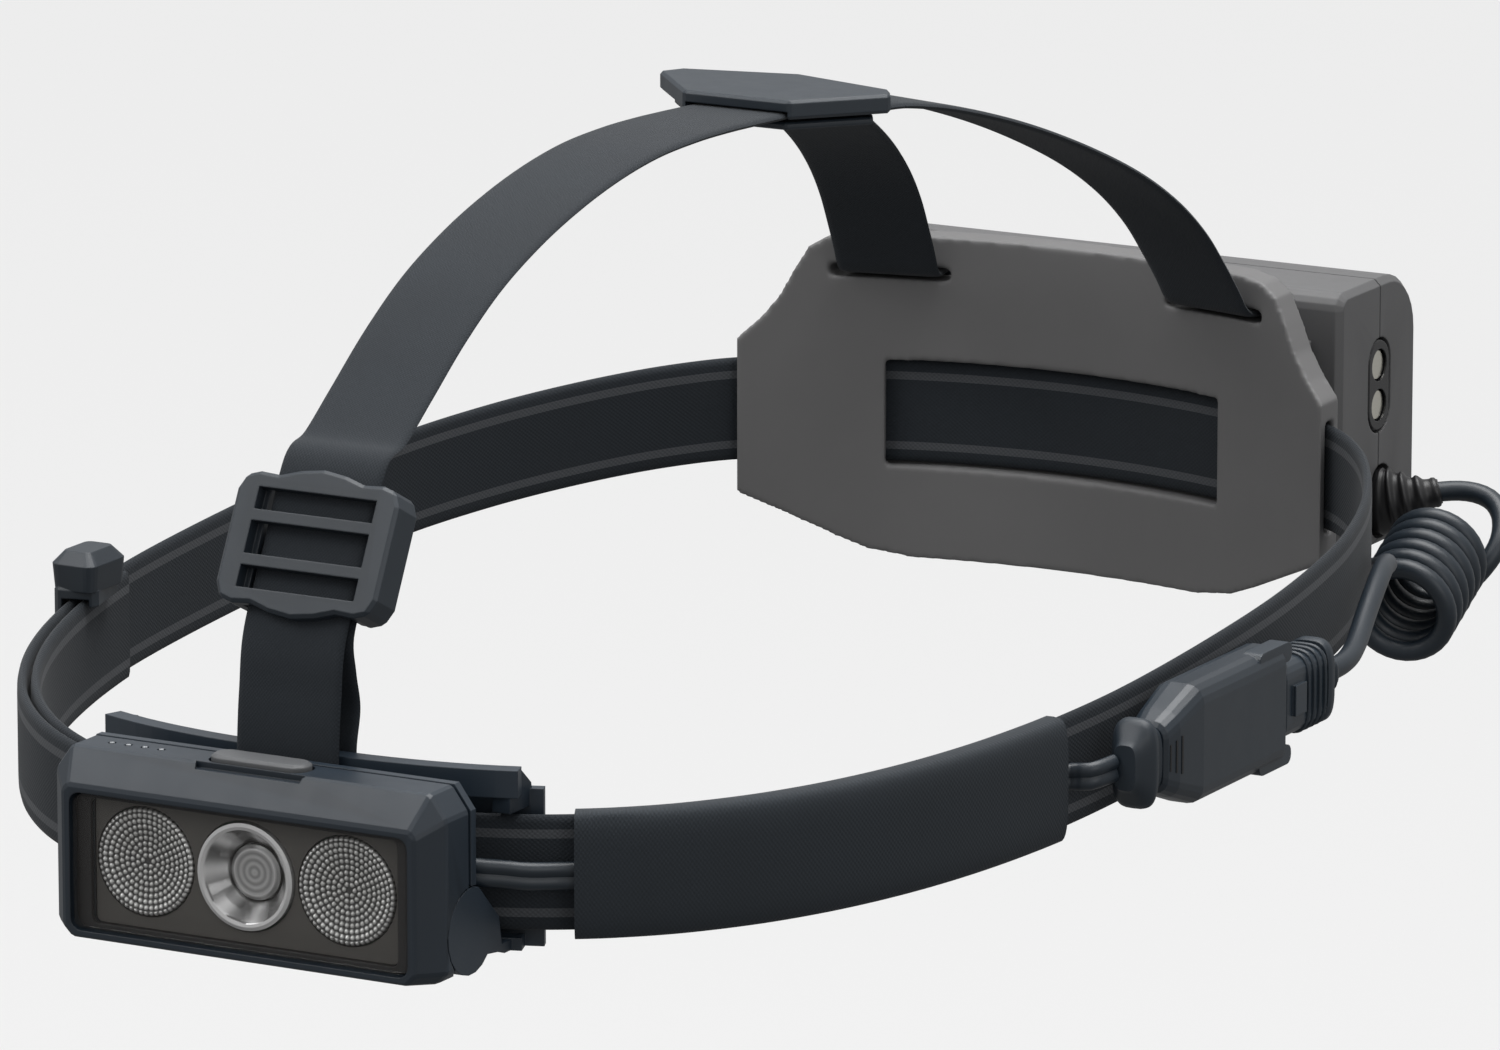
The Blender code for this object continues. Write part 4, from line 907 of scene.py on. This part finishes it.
wear_look(metal("heat_sink_metal", (0.6, 0.6, 0.6), 0.4), "heat_sink")
wear_look(metal("pin_brass", (0.72, 0.50, 0.20), 0.22), "plug_pin_lower", "plug_pin_upper")
wear_look(moulded("circuit_board", (0.012, 0.075, 0.030), 0.4, 0.8, 0.01, 0.1), "led_board",
          "button_board", "protection_board")
wear_look(moulded("cell_wrap", (0.03, 0.09, 0.22), 0.3, 2.0, 0.01, 0.2), "cell_lower",
          "cell_upper")
wear_look(moulded("led_chip", (0.80, 0.66, 0.16), 0.35, 0.4, 0.01, 0.1), "led_left", "led_spot",
          "led_right")


# -------------------------------------------------------------- floor and light

# The floor and the lights are in metres. The floor sweeps up behind the headlamp.
FLOOR_DROP = 0.45
PAPER_GLOW = 0.73
ROOM_BELOW = 0.22
ROOM_ABOVE = 0.80

FLOOR_Z = CAD_BOX[0][2] - FLOOR_DROP
floor_mesh = bpy.data.meshes.new("studio_floor")
reach, rise, steps = 6.0, 2.5, 24
rows = [(-reach, FLOOR_Z), (2.5, FLOOR_Z)]
for step in range(1, steps + 1):
    angle = math.pi / 2.0 * step / steps
    rows.append((2.5 + rise * math.sin(angle), FLOOR_Z + rise * (1.0 - math.cos(angle))))
rows.append((2.5 + rise, FLOOR_Z + 7.0))
points = [(x, y, z) for y, z in rows for x in (-reach, reach)]
faces = [(2 * i, 2 * i + 1, 2 * i + 3, 2 * i + 2) for i in range(len(rows) - 1)]
floor_mesh.from_pydata(points, [], faces)
floor_mesh.shade_smooth()
floor = bpy.data.objects.new("studio_floor", floor_mesh)
bpy.context.scene.collection.objects.link(floor)
paper = Look("studio_paper", (0.10, 0.10, 0.10), 0.9)
paper.bump(paper.noise(300.0), 0.02, 0.1)
paper.put(paper.shader, "Emission Color", (1.0, 1.0, 1.0, 1.0))
paper.put(paper.shader, "Emission Strength", PAPER_GLOW)
floor_mesh.materials.append(paper.material)
# Hidden from bounced light, the floor doesn't brighten the underside of the headlamp.
floor.visible_diffuse = False
floor.visible_glossy = False


def softbox(name, place, target, size, watts):
    """A rectangular light that faces a target."""
    light = bpy.data.lights.new(name, "AREA")
    light.shape = "RECTANGLE"
    light.size, light.size_y = size
    light.energy = watts
    lamp = bpy.data.objects.new(name, light)
    lamp.location = place
    aim = Vector(target) - Vector(place)
    lamp.rotation_euler = aim.to_track_quat("-Z", "Y").to_euler()
    bpy.context.scene.collection.objects.link(lamp)


softbox("key_light", (-1.0, -1.0, 1.5), (0.0, 0.0, 0.02), (1.3, 1.1), 15.0)
softbox("top_light", (0.1, 0.3, 1.7), (0.0, 0.0, 0.03), (1.6, 1.2), 38.0)
softbox("side_light", (1.5, -0.8, 0.6), (0.0, 0.0, 0.02), (0.6, 0.8), 3.0)

# The room is bright overhead and dim below, as under a studio ceiling.
world = bpy.data.worlds.new("studio")
world.use_nodes = True
room = world.node_tree
ambient = room.nodes["Background"]
direction = room.nodes.new("ShaderNodeTexCoord")
split = room.nodes.new("ShaderNodeSeparateXYZ")
level = room.nodes.new("ShaderNodeMapRange")
level.inputs["From Min"].default_value = -0.6
level.inputs["From Max"].default_value = 0.9
level.inputs["To Min"].default_value = ROOM_BELOW
level.inputs["To Max"].default_value = ROOM_ABOVE
room.links.new(direction.outputs["Generated"], split.inputs["Vector"])
room.links.new(split.outputs["Z"], level.inputs["Value"])
room.links.new(level.outputs["Result"], ambient.inputs["Strength"])
ambient.inputs["Color"].default_value = (1.0, 1.0, 1.0, 1.0)
bpy.context.scene.world = world
bpy.context.scene.view_settings.view_transform = "Standard"
